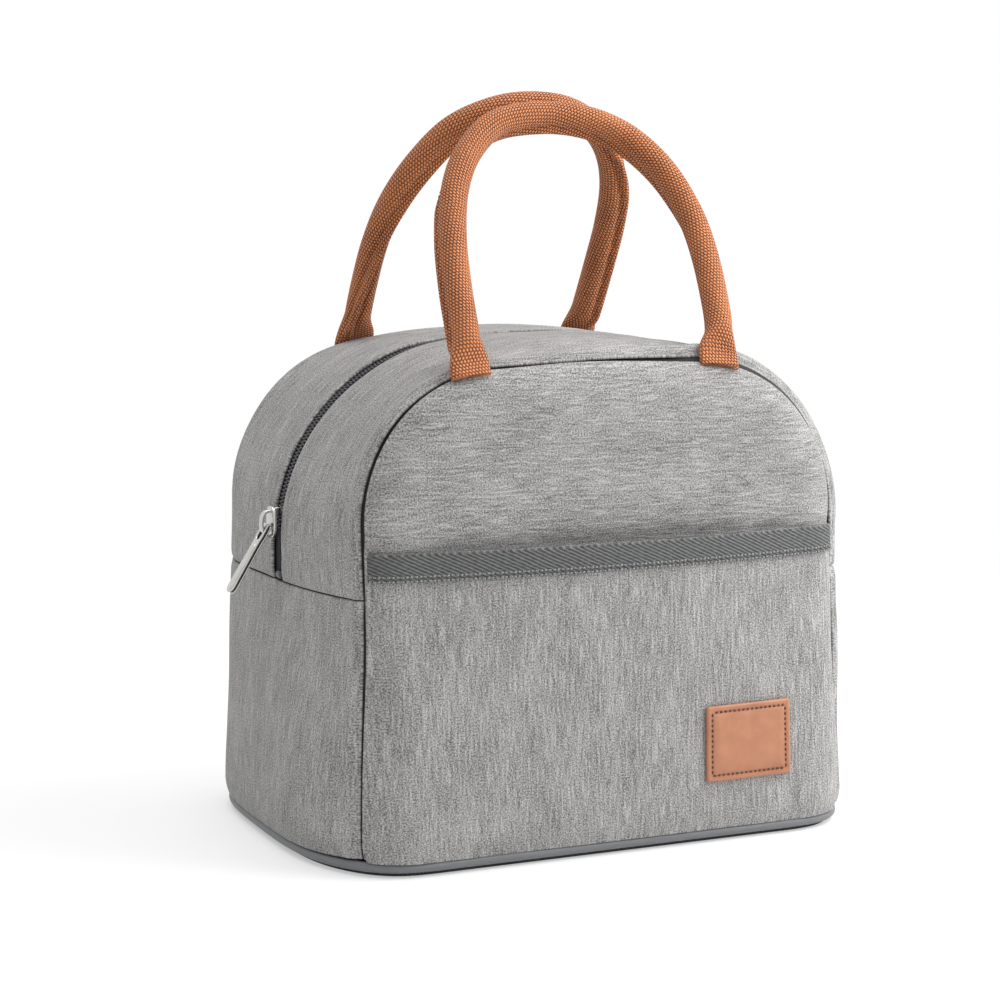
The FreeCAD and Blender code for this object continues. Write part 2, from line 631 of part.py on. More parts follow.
def set_on_zip(body, out, turn):
    """Put a body on the zip line at the slider's level, out from the cloth, and turn it about Y.
    Below the shoulder the zip is straight, above it the zip follows the arch."""
    reach = f"(Sizes.shoulder_radius + {out})"
    body.setExpression("Placement.Rotation.Angle", turn)
    body.Placement.Rotation.Axis = Vector(0, 1, 0)
    across = f"-({SHOULDER_X} + {reach} * cos({SLIDER_TURN}))"
    up = f"(min({SLIDER_Z}; {SHOULDER_Z}) + {reach} * sin({SLIDER_TURN}))"
    placed(body, across, "0", up)


def slider():
    """Zip slider: a plate over the coil, one under the tape, a post between, and a bridge for the tab."""
    long = "(Sizes.slider_length / 2)"
    wide = "(Sizes.slider_width / 2)"
    tail = "(Sizes.slider_tail / 2)"
    head = "(Sizes.slider_head / 2)"
    over = f"(Sizes.slider_play - {COIL_TOP})"
    under = f"({TAPE_IN} + 2 * Sizes.slider_play)"
    corners = (
        (f"-{tail}", f"-{long}"),
        (tail, f"-{long}"),
        (wide, "Sizes.slider_flare"),
        (head, long),
        (f"-{head}", long),
        (f"-{wide}", "Sizes.slider_flare"),
    )
    body = new_body("zip_slider")
    top = draw(new_sketch(body, "slider_top", "YZ_Plane", f"-{SLIDER_FACE}"), corners, {})
    new_pad(body, top, "Sizes.slider_plate")
    thin = "(Sizes.post_width / 2)"
    foot = f"(-{long} + Sizes.post_length)"
    post = ((f"-{thin}", f"-{long}"), (thin, f"-{long}"), (thin, foot), (f"-{thin}", foot))
    post_sketch = draw(new_sketch(body, "slider_post", "YZ_Plane", f"-{over}"), post, {})
    new_pad(body, post_sketch, f"{over} + {under}")
    low = draw(new_sketch(body, "slider_low", "YZ_Plane", under), corners, {})
    new_pad(body, low, "Sizes.slider_plate")
    root = f"-({SLIDER_FACE} - Sizes.slider_plate / 2)"
    room = f"-({SLIDER_FACE} + Sizes.tab_thick + 2 * Sizes.tab_play)"
    crest = f"({room} - Sizes.bail_thick)"
    foot_z = "(Sizes.bail_span / 2)"
    leg_z = f"({foot_z} - Sizes.bail_thick)"
    bail = (
        (root, f"-{foot_z}"),
        (room, f"-{foot_z}"),
        (crest, f"-{leg_z}"),
        (crest, leg_z),
        (room, foot_z),
        (root, foot_z),
        (root, leg_z),
        (room, leg_z),
        (room, f"-{leg_z}"),
        (root, f"-{leg_z}"),
    )
    bail_sketch = draw(new_sketch(body, "slider_bail", "XZ_Plane"), bail, {})
    new_pad(body, bail_sketch, "Sizes.bail_width", symmetric=True)
    set_on_zip(body, "0", SLIDER_TURN)
    part(body, "zip_slider")


def pull_tab():
    """Long pull tab with a slot that takes the slider's bridge, hung on a round pivot bar."""
    pivot = f"({SLIDER_FACE} + Sizes.tab_thick / 2 + Sizes.tab_play)"
    wide = "(Sizes.tab_width / 2)"
    inside = f"({wide} - Sizes.tab_rail)"
    waist = "(Sizes.tab_waist / 2)"
    waist_z = "-(Sizes.tab_slot + Sizes.tab_waist_drop)"
    corners = (
        (f"-{wide}", "0"),
        (f"-{wide}", "-Sizes.tab_slot"),
        (f"-{waist}", waist_z),
        (f"-{wide}", f"-Sizes.tab_length + {wide}"),
        ("0", "-Sizes.tab_length"),
        (wide, f"-Sizes.tab_length + {wide}"),
        (waist, waist_z),
        (wide, "-Sizes.tab_slot"),
        (wide, "0"),
        (inside, "0"),
        (inside, "-Sizes.tab_slot"),
        (f"-{inside}", "-Sizes.tab_slot"),
        (f"-{inside}", "0"),
    )
    body = new_body("pull_tab")
    blade = draw(new_sketch(body, "tab_outline", "YZ_Plane"), corners, {3: (wide, 1), 4: (wide, 1)})
    new_pad(body, blade, "Sizes.tab_thick", symmetric=True)
    bar = draw_circle(new_sketch(body, "tab_bar", "XZ_Plane"), "(Sizes.tab_thick / 2)")
    new_pad(body, bar, "Sizes.tab_width", symmetric=True)
    set_on_zip(body, pivot, f"Sizes.tab_lean * 1deg + {SLIDER_TURN}")
    part(body, "pull_tab")


def build():
    outer = envelope("outer_form", "0")
    under_cloth = envelope("under_cloth_form", UNDER_CLOTH)
    foam_out = envelope("foam_out_form", FOAM_OUT)
    foam_in = envelope("foam_in_form", FOAM_IN)
    lining_out = envelope("lining_out_form", LINING_OUT)
    lining_in = envelope("lining_in_form", LINING_IN)
    floor_form = envelope("floor_form", FLOOR_EDGE)
    tape_in = envelope("tape_in_form", TAPE_IN)
    coil_out = envelope("coil_out_form", COIL_TOP)
    cloth_walls(shell("cloth_skin", outer, under_cloth))
    foam_skin = shell("foam_skin", foam_out, foam_in)
    wall_set("foam", foam_skin, CHANNEL)
    side_sheets("foam", foam_skin)
    lining_skin = shell("lining_skin", lining_out, lining_in)
    wall_set("lining", lining_skin, CHANNEL)
    side_sheets("lining", lining_skin)
    base(outer, floor_form)
    base_piping()
    pocket()
    patch()
    zip_strips(shell("tape_skin", foam_out, tape_in), shell("coil_skin", coil_out, under_cloth))
    handle("front_handle", -1)
    handle("rear_handle", 1)
    slider()
    pull_tab()
    doc.recompute()


def write_parts():
    for item in doc.Objects:
        if "Invalid" in item.State or "Error" in item.State:
            raise RuntimeError(f"{item.Label} did not build")
    for piece in parts:
        if piece.Shape.isNull() or not piece.Shape.isValid() or not piece.Shape.Solids:
            raise RuntimeError(f"{piece.Label} has no sound shape")
    for piece in parts:
        piece.Shape.exportStep(f"parts/{piece.Label}.step")


build()
write_parts()
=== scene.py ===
"""Cloth, zip, handles, patch and lining of an insulated lunch bag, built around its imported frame."""
import json
import math

import bmesh
import bpy
import numpy as np
from bpy.props import FloatProperty, FloatVectorProperty, PointerProperty
from mathutils import Matrix, Vector, noise


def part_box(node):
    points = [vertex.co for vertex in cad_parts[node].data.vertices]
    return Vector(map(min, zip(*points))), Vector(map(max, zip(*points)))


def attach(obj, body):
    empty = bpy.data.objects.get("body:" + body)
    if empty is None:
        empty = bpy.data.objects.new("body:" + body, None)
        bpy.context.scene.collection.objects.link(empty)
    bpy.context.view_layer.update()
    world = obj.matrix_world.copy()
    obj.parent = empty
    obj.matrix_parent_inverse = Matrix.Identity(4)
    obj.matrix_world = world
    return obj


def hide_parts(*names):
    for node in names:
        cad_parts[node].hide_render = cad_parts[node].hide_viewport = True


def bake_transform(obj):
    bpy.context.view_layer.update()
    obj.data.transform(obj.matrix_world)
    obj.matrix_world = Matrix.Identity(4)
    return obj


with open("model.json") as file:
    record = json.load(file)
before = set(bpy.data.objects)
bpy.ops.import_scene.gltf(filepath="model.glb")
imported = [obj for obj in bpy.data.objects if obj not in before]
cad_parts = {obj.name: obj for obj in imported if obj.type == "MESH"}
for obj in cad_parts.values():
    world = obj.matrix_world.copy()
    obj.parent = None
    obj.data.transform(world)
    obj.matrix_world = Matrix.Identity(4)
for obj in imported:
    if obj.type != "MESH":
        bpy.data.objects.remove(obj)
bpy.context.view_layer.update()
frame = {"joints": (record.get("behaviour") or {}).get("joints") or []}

bl_info = {
    "name": "Lunch bag dressing",
    "version": (1, 0, 0),
    "blender": (4, 5, 0),
    "location": "3D View > Sidebar > Lunch bag",
    "description": "Sews cloth, zip, handles, patch and lining onto the frame of an insulated lunch bag",
    "category": "Object",
}

# Places read from the frame, in metres.
MM = 0.001
JOINTS = {joint["name"]: joint for joint in frame["joints"]}
SIDE_LOW, SIDE_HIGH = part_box("left_side_panel")
BASE_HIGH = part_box("base_panel")[1]
PIPING_LOW, PIPING_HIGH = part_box("base_piping")
GUSSET_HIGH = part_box("front_gusset_panel")[1]
POCKET_LOW, POCKET_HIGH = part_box("pocket_panel")
HEM_LOW, HEM_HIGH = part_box("pocket_hem")
PATCH_LOW, PATCH_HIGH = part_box("patch")
FLOOR_LINING_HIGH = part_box("base_lining")[1]
SLIDER_LOW, SLIDER_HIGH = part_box("zip_slider")
TAB_PIVOT = Vector(JOINTS["pull_tab_swing"]["pos_m"])
BAG_MIDDLE = np.array((0.0, 0.0, GUSSET_HIGH.z / 2))
CHART = "cloth"
SIDES = (("front", -1), ("rear", 1))
ENDS = (("left", -1), ("right", 1))


def length(name, description, default):
    """Size in metres."""
    return FloatProperty(name=name, description=description, default=default, unit="LENGTH", precision=5)


def angle(name, description, default):
    """Angle, with its default in degrees."""
    return FloatProperty(name=name, description=description, default=math.radians(default), subtype="ANGLE")


def colour(name, description, default):
    """Colour in linear red, green and blue."""
    return FloatVectorProperty(name=name, description=description, default=default, subtype="COLOR", size=3)


class BagShape(bpy.types.PropertyGroup):
    """Form of the padded body."""

    half_width: length("Half width", "Middle to the side of the bag", -SIDE_LOW.x)
    half_depth: length("Half depth", "Middle to the front of the bag at the floor", BASE_HIGH.y)
    lean: angle("Lean", "Front and back lean in towards the top", 3.8)
    zip_top: length("Zip top", "Floor to the top of the zip line", GUSSET_HIGH.z)
    zip_shoulder: length("Zip shoulder", "Corner radius of the zip line", 76.5 * MM)
    zip_crown: length("Zip crown", "Radius of the zip line over the top", 300 * MM)
    seam_top: length("Seam top", "Floor to the top of the arch at the panel seams", 191.4 * MM)
    seam_shoulder: length("Seam shoulder", "Corner radius of the arch at the panel seams", 65 * MM)
    rear_shoulder: length("Rear shoulder", "Corner radius of the arch at the rear panel seam", 58 * MM)
    seam_crown: length("Seam crown", "Radius of the arch over the top at the panel seams", 1500 * MM)
    edge_round: length("Edge round", "Soft edge between gusset and face", 26 * MM)
    seam_inset: length("Seam inset", "Panel seam behind the face", 8 * MM)
    seam_flare: length("Seam flare", "How much further back the panel seams lie at the base", 3.5 * MM)
    seam_edge: length("Seam edge", "Middle of a seam to the cloth of the gusset", 1.5 * MM)
    face_edge: length("Face edge", "Middle of a seam to the cloth of the front or back", 3.1 * MM)
    seam_depth: length("Seam depth", "How far the front and back sink at their seam", 2.1 * MM)
    seam_width: length("Seam width", "How wide the front and back sink at their seam", 3.2 * MM)
    seam_lip: length("Seam lip", "How far the gusset stands up beside a seam", 0.5 * MM)
    seam_rolls: FloatVectorProperty(
        name="Seam rolls",
        description="How much further the gusset stands up at the front's left and right shoulder",
        default=(0.5 * MM, 2.1 * MM),
        unit="LENGTH",
        size=2,
        precision=5,
    )
    tuck: length("Tuck", "How far the walls draw in at the base", 1.2 * MM)
    tuck_height: length("Tuck height", "Height over which the walls draw in", 7 * MM)
    swell: length("Swell", "How far the sides bulge above the base", 8.5 * MM)
    cloth: length("Cloth", "Cloth with its backing", 1.2 * MM)
    wall: length("Wall", "Outside of the cloth to the lining", 5.6 * MM)
    lining: length("Lining", "Film of the lining", 0.5 * MM)
    zip_half: length("Zip half", "Middle of the zip to the edge of the cloth", 4.6 * MM)
    tape_edge: length("Tape edge", "Middle of the zip to the edge of its tape", 8 * MM)
    tape_drop: length("Tape drop", "Outside of the cloth to the zip tape", 1.6 * MM)
    tape: length("Tape", "Thickness of the zip tape", 0.6 * MM)


class TrimShape(bpy.types.PropertyGroup):
    """Pocket, patch, handles and zip teeth."""

    pocket_slack: length("Pocket slack", "Middle of the pocket mouth off the front", 7 * MM)
    foot_slack: length("Foot slack", "Middle of the pocket foot off the front", 0.6 * MM)
    pocket_off: length("Pocket off", "Outside of the pocket off the front under it", 1.45 * MM)
    pocket_sink: length("Pocket sink", "How far the front sinks under the pocket", 1.3 * MM)
    hem: length("Hem", "Webbing along the pocket mouth", 1.2 * MM)
    patch_thick: length("Patch", "Thickness of the leather patch", 1.7 * MM)
    tooth_pitch: length("Tooth pitch", "From one coil tooth to the next in its row", 1.5 * MM)
    handle_lean: angle("Handle lean", "Handles lean in over the bag", 31.09)
    tube: length("Tube", "Half the rolled handle across", 5.3 * MM)
    flange: length("Flange", "Sewn edge standing off the rolled handle", 2.2 * MM)
    foot_width: length("Foot width", "Half the flat foot of a handle across", 8.0 * MM)
    foot_thick: length("Foot thickness", "Half the flat foot of a handle through", 1.9 * MM)


class BagColours(bpy.types.PropertyGroup):
    """Colours of the finishes."""

    cloth_dark: colour("Dark yarn", "Dark yarn of the heather cloth", (0.112, 0.110, 0.108))
    cloth_pale: colour("Pale yarn", "Pale yarn of the heather cloth", (0.505, 0.497, 0.488))
    hem: colour("Hem", "Twill webbing along the pocket", (0.098, 0.099, 0.100))
    handle: colour("Handle", "Woven webbing of the handles", (0.70, 0.255, 0.100))
    # Painted shade: the near-black gap colour stands in for the shade between the webbing's raised scales.
    handle_gap_shade: colour("Handle shade", "Gaps in the woven webbing", (0.085, 0.022, 0.009))
    leather: colour("Leather", "Face of the patch", (0.43, 0.185, 0.100))
    piping: colour("Piping", "Piping round the base", (0.155, 0.160, 0.166))
    zip: colour("Zip", "Zip tape and coil", (0.012, 0.012, 0.014))
    nickel: colour("Nickel", "Slider and pull tab", (0.57, 0.56, 0.535))
    foil: colour("Foil", "Metallised lining", (0.78, 0.79, 0.81))


def shape():
    """Sizes of the padded body."""
    return bpy.context.scene.bag_shape


def trim():
    """Sizes of the pocket, patch, handles and zip teeth."""
    return bpy.context.scene.bag_trim


def colours():
    """Colours of the finishes."""
    return bpy.context.scene.bag_colours


# Shader arithmetic.
def forward(operation):
    """Operator with the shade on its left."""
    return lambda shade, other: shade.math(operation, shade, other)


def reflected(operation):
    """Operator with the shade on its right."""
    return lambda shade, other: shade.math(operation, other, shade)


class Shade:
    """A shader socket that takes part in Python arithmetic; each operation adds a Math node."""

    def __init__(self, finish, socket):
        self.finish = finish
        self.socket = socket

    def math(self, operation, *values):
        return self.finish.node("ShaderNodeMath", {"operation": operation}, dict(enumerate(values)))

    __add__, __radd__ = forward("ADD"), reflected("ADD")
    __sub__, __rsub__ = forward("SUBTRACT"), reflected("SUBTRACT")
    __mul__, __rmul__ = forward("MULTIPLY"), reflected("MULTIPLY")
    __truediv__, __rtruediv__ = forward("DIVIDE"), reflected("DIVIDE")
    __pow__, __rpow__ = forward("POWER"), reflected("POWER")
    __mod__, __rmod__ = forward("FLOORED_MODULO"), reflected("FLOORED_MODULO")

    def __abs__(self):
        return self.math("ABSOLUTE", self)

    def sine(self):
        return self.math("SINE", self)

    def step(self, low, high):
        """0 below low, 1 above high and a smooth rise between."""
        settings = {"interpolation_type": "SMOOTHSTEP"}
        return self.finish.node("ShaderNodeMapRange", settings, {0: self, 1: low, 2: high})


class Finish:
    """A material on one Principled shader; all its other nodes come from node()."""

    def __init__(self, name):
        self.material = bpy.data.materials.new(name)
        self.material.use_nodes = True
        self.tree = self.material.node_tree
        self.shader = self.tree.nodes["Principled BSDF"]

    def node(self, kind, settings, sockets, output=0):
        """Shade of a new node: its settings are set first, then its sockets are fed."""
        made = self.tree.nodes.new(kind)
        for name, setting in settings.items():
            setattr(made, name, setting)
        for key, given in sockets.items():
            self.feed(made.inputs[key], given)
        return Shade(self, made.outputs[output])

    def feed(self, socket, given):
        """Link a shade to a socket, or give the socket a value."""
        if isinstance(given, Shade):
            self.tree.links.new(given.socket, socket)
        else:
            socket.default_value = given

    def set(self, **sockets):
        """Feed sockets of the shader; underscores stand for spaces."""
        for name, given in sockets.items():
            self.feed(self.shader.inputs[name.replace("_", " ")], given)

    def chart(self):
        """Distance across and along the cloth, in metres."""
        place = self.node("ShaderNodeUVMap", {"uv_map": CHART}, {})
        return [self.node("ShaderNodeSeparateXYZ", {}, {0: place}, output) for output in (0, 1)]

    def speckle(self, across, along, detail=2.0, rough=0.5):
        """Noise between 0 and 1 on two lengths, counted in grains."""
        place = self.node("ShaderNodeCombineXYZ", {}, {0: across, 1: along})
        sockets = {"Vector": place, "Scale": 1.0, "Detail": detail, "Roughness": rough}
        return self.node("ShaderNodeTexNoise", {"noise_dimensions": "2D"}, sockets)

    def mix(self, share, first, second):
        """Colour between two others."""
        sockets = {0: share, 6: as_colour(first), 7: as_colour(second)}
        return self.node("ShaderNodeMix", {"data_type": "RGBA"}, sockets, 2)

    def bump(self, height, depth):
        """Normal of a surface whose height of 1 stands depth metres proud."""
        sockets = {"Strength": 1.0, "Distance": depth, "Height": height}
        self.set(Normal=self.node("ShaderNodeBump", {}, sockets))


def as_colour(given):
    """A colour with its alpha, or a shade as it is."""
    return given if isinstance(given, Shade) else (*given, 1.0)


def finish_of(paint):
    """The material that a paint function makes on the cloth's chart, made once."""
    name = f"dressed_{paint.__name__}"
    found = bpy.data.materials.get(name)
    if found:
        return found
    finish = Finish(name)
    paint(finish, *finish.chart())
    return finish.material


def scaled(tint, share):
    """A colour made darker or paler."""
    return [part * share for part in tint]


# Finishes. Noise is counted in grains and ribs in radians, per metre of cloth; bumps are in metres.
def heather_cloth(finish, across, along):
    """Melange weave: fine grain, pale and dark yarns along the cloth and a few stray squiggles."""
    drift = finish.speckle(across * 160, along * 70) * (1.6 * MM)
    across = across + drift
    grain = finish.speckle(across * 1800, along * 1700, 2.0, 0.7)
    yarn = finish.speckle(across * 1150, along * 95, 1.0)
    pale = yarn.step(0.58, 0.70)
    dark = 1.0 - yarn.step(0.30, 0.42)
    squiggle = 1.0 - abs(finish.speckle(across * 190, along * 105, 1.0) - 0.5).step(0.0, 0.03)
    cloud = finish.speckle(across * 75, along * 38)
    tone = 0.47 + (grain - 0.5) * 2.4 + (cloud - 0.5) * 0.35 + pale * 0.25 - dark * 0.17 - squiggle * 0.12
    tint = colours()
    finish.set(Base_Color=finish.mix(tone, tint.cloth_dark, tint.cloth_pale), Roughness=0.92)
    finish.set(Specular_IOR_Level=0.18, Sheen_Weight=0.1, Sheen_Roughness=0.5)
    finish.bump(grain * 0.5 + pale * 0.5 - dark * 0.4 + squiggle * 0.5, 0.22 * MM)


def twill_hem(finish, across, along):
    """Dark webbing with fine slanting ribs."""
    slant = across * 4750 + along * 2250 + finish.speckle(across * 200, along * 90) * 2.5
    rib = slant.sine() * 0.5 + 0.5
    thread = finish.speckle(across * 1500, along * 500, 2.0)
    tint = colours().hem
    tone = rib.step(0.35, 0.95) * 0.5 + (thread - 0.5) * 0.7 + 0.1
    finish.set(Base_Color=finish.mix(tone, scaled(tint, 0.55), scaled(tint, 2.5)))
    finish.set(Roughness=0.8, Specular_IOR_Level=0.25)
    finish.bump(rib * 0.8 + thread * 0.3, 0.3 * MM)


def handle_webbing(finish, across, along):
    """Rust webbing: slanting rows of small raised scales, each row half a scale on from the last. The rust is
    the webbing's own colour; the near-black gaps between the scales are painted shade.
    """
    row = (across * 0.74 + along * 0.67) / (1.05 * MM)
    place = row % 1.0
    step = (row - place) * 0.5
    scale = ((along * 0.74 - across * 0.67) / (1.7 * MM) + step) % 1.0
    body = (place * math.pi).sine() * (scale * math.pi).sine()
    fibre = finish.speckle(across * 1900, along * 1900, 2.0)
    wear = finish.speckle(across * 80, along * 45)
    # Painted shade: the tone falls to the dark gap colour between the scales.
    tone = body.step(0.05, 0.9) * 0.95 + (fibre - 0.5) * 0.7 + (wear - 0.5) * 0.4 + 0.12
    tint = colours()
    finish.set(Base_Color=finish.mix(tone, tint.handle_gap_shade, tint.handle), Roughness=0.85)
    finish.set(Specular_IOR_Level=0.25, Sheen_Weight=0.1)
    finish.bump(body ** 0.6 + fibre * 0.2, 0.4 * MM)


def tan_leather(finish, across, along):
    """Smooth tan leather with fine pores and a darker mottling."""
    pore = finish.speckle(across * 2600, along * 2600, 3.0, 0.6)
    cloud = finish.speckle(across * 120, along * 120, 3.0)
    tint = colours().leather
    tone = (cloud - 0.5) * 0.9 + (pore - 0.5) * 0.35 + 0.5
    finish.set(Base_Color=finish.mix(tone, scaled(tint, 0.72), scaled(tint, 1.2)))
    finish.set(Roughness=pore * 0.25 + 0.32, Specular_IOR_Level=0.4)
    finish.bump(pore, 0.06 * MM)


def leather_edge(finish, across, along):
    """Dark stitching of the patch."""
    grain = finish.speckle(across * 1500, along * 1500)
    finish.set(Base_Color=finish.mix(grain, (0.045, 0.015, 0.008), (0.16, 0.055, 0.03)), Roughness=0.7)


def piping_vinyl(finish, across, along):
    """Smooth blue-grey piping with faint scuffs."""
    scuff = finish.speckle(across * 400, along * 60, 3.0)
    tint = colours().piping
    finish.set(Base_Color=finish.mix(scuff, scaled(tint, 0.85), scaled(tint, 1.2)))
    finish.set(Roughness=scuff * 0.3 + 0.35, Specular_IOR_Level=0.4)
    finish.bump(scuff, 0.08 * MM)


def base_cloth(finish, across, along):
    """Dark plain weave under the bag."""
    weave = (across * 5200).sine() * (along * 5200).sine()
    fleck = finish.speckle(across * 900, along * 900)
    finish.set(Base_Color=finish.mix(weave * 0.25 + fleck, (0.04, 0.043, 0.048), (0.11, 0.115, 0.125)))
    finish.set(Roughness=0.88)
    finish.bump(weave, 0.15 * MM)


def zip_tape(finish, across, along):
    """Black woven tape with ribs along its length."""
    rib = (across * 7800).sine() * 0.5 + 0.5
    thread = finish.speckle(across * 900, along * 2600, 1.0)
    tint = colours().zip
    finish.set(Base_Color=finish.mix(rib * 0.4 + thread * 0.5, tint, scaled(tint, 2)))
    finish.set(Roughness=0.85)
    finish.bump(rib * 0.5 + thread, 0.12 * MM)


def coil_nylon(finish, across, along):
    """Black nylon of the coil, with a dull shine."""
    streak = finish.speckle(across * 900, along * 2600)
    tint = scaled(colours().zip, 2.4)
    finish.set(Base_Color=finish.mix(streak, tint, scaled(tint, 2.4)), Roughness=streak * 0.2 + 0.32)


def nickel_plate(finish, across, along):
    """Polished nickel with faint brushing and duller rubbed patches."""
    brush = finish.speckle(across * 6000, along * 260, 2.0)
    cloud = finish.speckle(across * 220, along * 220)
    tint = colours().nickel
    finish.set(Base_Color=finish.mix(cloud, scaled(tint, 0.82), tint), Metallic=1.0)
    finish.set(Roughness=brush * 0.16 + cloud * 0.12 + 0.1)
    finish.bump(brush, 0.015 * MM)


def tab_groove_painted_shade(finish, across, along):
    """Painted shade: near-black nickel for the groove round the tab, standing in for its shade and dark
    reflections.
    """
    stain = finish.speckle(across * 900, along * 900)
    finish.set(Base_Color=finish.mix(stain, (0.015, 0.014, 0.013), (0.06, 0.057, 0.052)), Metallic=0.5)
    finish.set(Roughness=0.5)


def lining_foil(finish, across, along):
    """Silver film, softly crinkled."""
    crease = abs(finish.speckle(across * 95, along * 95, 3.0, 0.6) - 0.5) * 2.0
    fine = finish.speckle(across * 420, along * 420, 2.0)
    tint = colours().foil
    finish.set(Base_Color=finish.mix(crease, tint, scaled(tint, 0.8)), Metallic=0.85)
    finish.set(Roughness=fine * 0.2 + 0.24)
    finish.bump(crease + fine * 0.25, 0.9 * MM)


def sewing_thread(finish, across, along, dark, pale):
    """Thread with its twist."""
    twist = (along * 9000 + across * 6000).sine() * 0.5 + 0.5
    finish.set(Base_Color=finish.mix(twist, dark, pale), Roughness=0.75)


def pale_thread(finish, across, along):
    """Grey thread of the hem."""
    sewing_thread(finish, across, along, (0.15, 0.15, 0.15), (0.34, 0.34, 0.335))


def rust_thread(finish, across, along):
    """Thread of the handles."""
    sewing_thread(finish, across, along, (0.20, 0.06, 0.025), (0.46, 0.17, 0.075))


def seam_shadow(finish, across, along):
    """Painted shadow: near-black cloth colour at the bottom of a seam, where the groove falls into shade."""
    grain = finish.speckle(across * 1800, along * 1800)
    finish.set(Base_Color=finish.mix(grain, (0.008, 0.008, 0.008), (0.035, 0.035, 0.035)), Roughness=0.95)


# Form of the bag.
class Arch:
    """Outline of the bag from the front: straight sides, a round shoulder each side and a shallow crown."""

    def __init__(self, half, shoulder, crown, top):
        self.half = half
        self.shoulder = shoulder
        self.crown = crown
        self.centre_x = half - shoulder
        self.crown_z = top - crown
        self.centre_z = self.crown_z + math.sqrt((crown - shoulder) ** 2 - self.centre_x ** 2)
        self.turn = math.atan2(self.centre_z - self.crown_z, self.centre_x)

    def at(self, place, foot):
        """Points and outward normals. Place is 0 at the top middle, 1 where the crown meets the shoulder,
        2 where the shoulder meets the side and 3 at the foot; it is negative on the left."""
        side = np.where(place < 0, -1.0, 1.0)
        along = np.abs(place)
        over = math.pi / 2 - np.clip(along, 0, 1) * (math.pi / 2 - self.turn)
        round_ = self.turn * (1 - np.clip(along - 1, 0, 1))
        on_crown = along <= 1
        turn = np.where(on_crown, over, round_)
        x = np.where(on_crown, self.crown * np.cos(over), self.centre_x + self.shoulder * np.cos(round_))
        round_z = self.centre_z + self.shoulder * np.sin(round_)
        z = np.where(on_crown, self.crown_z + self.crown * np.sin(over), round_z)
        z = z + (foot - self.centre_z) * np.clip(along - 2, 0, 1)
        return side * x, z, side * np.cos(turn), np.sin(turn)

    def depth(self, x, z):
        """Distance inside the outline, and the upward part of the normal there."""
        out, up = np.abs(x) - self.centre_x, z - self.centre_z
        reach = np.hypot(x, z - self.crown_z)
        in_shoulder = (out > 0) & (np.arctan2(up, out) < self.turn)
        corner = np.hypot(out, up)
        deep = np.where(in_shoulder, self.shoulder - corner, self.crown - reach)
        rise = np.where(in_shoulder, up / np.maximum(corner, MM), (z - self.crown_z) / reach)
        return np.where(up <= 0, self.half - np.abs(x), deep), np.where(up <= 0, 0.0, rise)


def smooth(share):
    """Soft step from 0 to 1."""
    share = np.clip(share, 0, 1)
    return share * share * (3 - 2 * share)


def arch_between(share, side=-1):
    """Outline between the zip line (0) and the front or rear panel seam (1)."""
    bag, mix = shape(), float(smooth(share))
    corner = bag.seam_shoulder if side < 0 else bag.rear_shoulder
    shoulder = bag.zip_shoulder + (corner - bag.zip_shoulder) * mix
    crown = 1 / (1 / bag.zip_crown + (1 / bag.seam_crown - 1 / bag.zip_crown) * mix)
    return Arch(bag.half_width, shoulder, crown, bag.zip_top + (bag.seam_top - bag.zip_top) * mix)


def face_y(z, inset=0.0):
    """Distance of the leaning faces from the middle at a level."""
    bag = shape()
    return bag.half_depth - z * math.tan(bag.lean) - inset / math.cos(bag.lean)


def seam_turn(z):
    """Turn of the soft edge that belongs to the front or back panel, at a level."""
    bag = shape()
    inset = bag.seam_inset + bag.seam_flare * smooth(1 - z / SIDE_HIGH.z)
    return np.arccos(1 - inset / bag.edge_round)


def sink(distance):
    """How far a front or back panel sinks at a distance from its seam."""
    bag = shape()
    return bag.seam_depth * np.exp(-((distance / bag.seam_width) ** 2))


def on_shoulder(place):
    """1 over the shoulders of the arch, 0 on its crown and its straight sides."""
    return smooth((np.abs(place) - 0.6) / 0.6) * smooth((2.2 - np.abs(place)) / 0.8)


# Width of the edge that turns down beside a seam, and the place and width of the roll behind it.
LIP_WIDTH = 1.3 * MM
ROLL_PLACE, ROLL_WIDTH = 3.6 * MM, 2.2 * MM


def lip(distance, place, side):
    """How far a gusset or side turns down at distances from its edge, or stands up beside it if negative."""
    bag = shape()
    turned = MM * np.exp(-((distance / LIP_WIDTH) ** 2))
    rolls = np.interp(place, (-1, 1), bag.seam_rolls) * (side < 0)
    stand = bag.seam_lip + rolls * on_shoulder(place)
    return turned - stand[:, None] * np.exp(-(((distance - ROLL_PLACE) / ROLL_WIDTH) ** 2))


def skin(place, share, bend, inset, foot, side, past=0.0):
    """Points on the bag taken in by inset. Share picks the outline from zip to seam; bend is 0 on the gusset
    and 1 at the panel seam; past is a distance from the seam onto the face."""
    bag = shape()
    x, z, out, up = arch_between(share, side).at(place, foot)
    centre_x, centre_z = x - bag.edge_round * out, z - bag.edge_round * up
    whole = np.arccos(up * math.sin(bag.lean))
    turn = bend * (whole - seam_turn(z)) + past / bag.edge_round
    gusset_part = np.sin(whole - turn) / np.sin(whole)
    face_part = np.sin(turn) / np.sin(whole)
    reach = bag.edge_round - inset
    y = face_y(centre_z, bag.edge_round) + reach * face_part * math.cos(bag.lean)
    lift = gusset_part * up + face_part * math.sin(bag.lean)
    return np.stack((centre_x + reach * gusset_part * out, side * y, centre_z + reach * lift), -1)


# Zip to panel seam over a gusset.
GUSSET_REACH = 68 * MM
# Fullness of the front and rear gussets at their left and right seam.
BOWS = {-1: (2, 10), 1: (8, 8)}
# Share of the swell on the left and right side.
SWELLS = {-1: 1.0, 1: 0.35}
# Fullest level of the swell, its fade from there and its end below the cross seam.
SWELL_LEVEL, SWELL_FADE, SWELL_END = 15 * MM, 58 * MM, 30 * MM
# Share of the seam edges' distance kept at the front and rear: the front seams gape more.
SEAM_GAPS = {-1: 1.0, 1: 0.86}


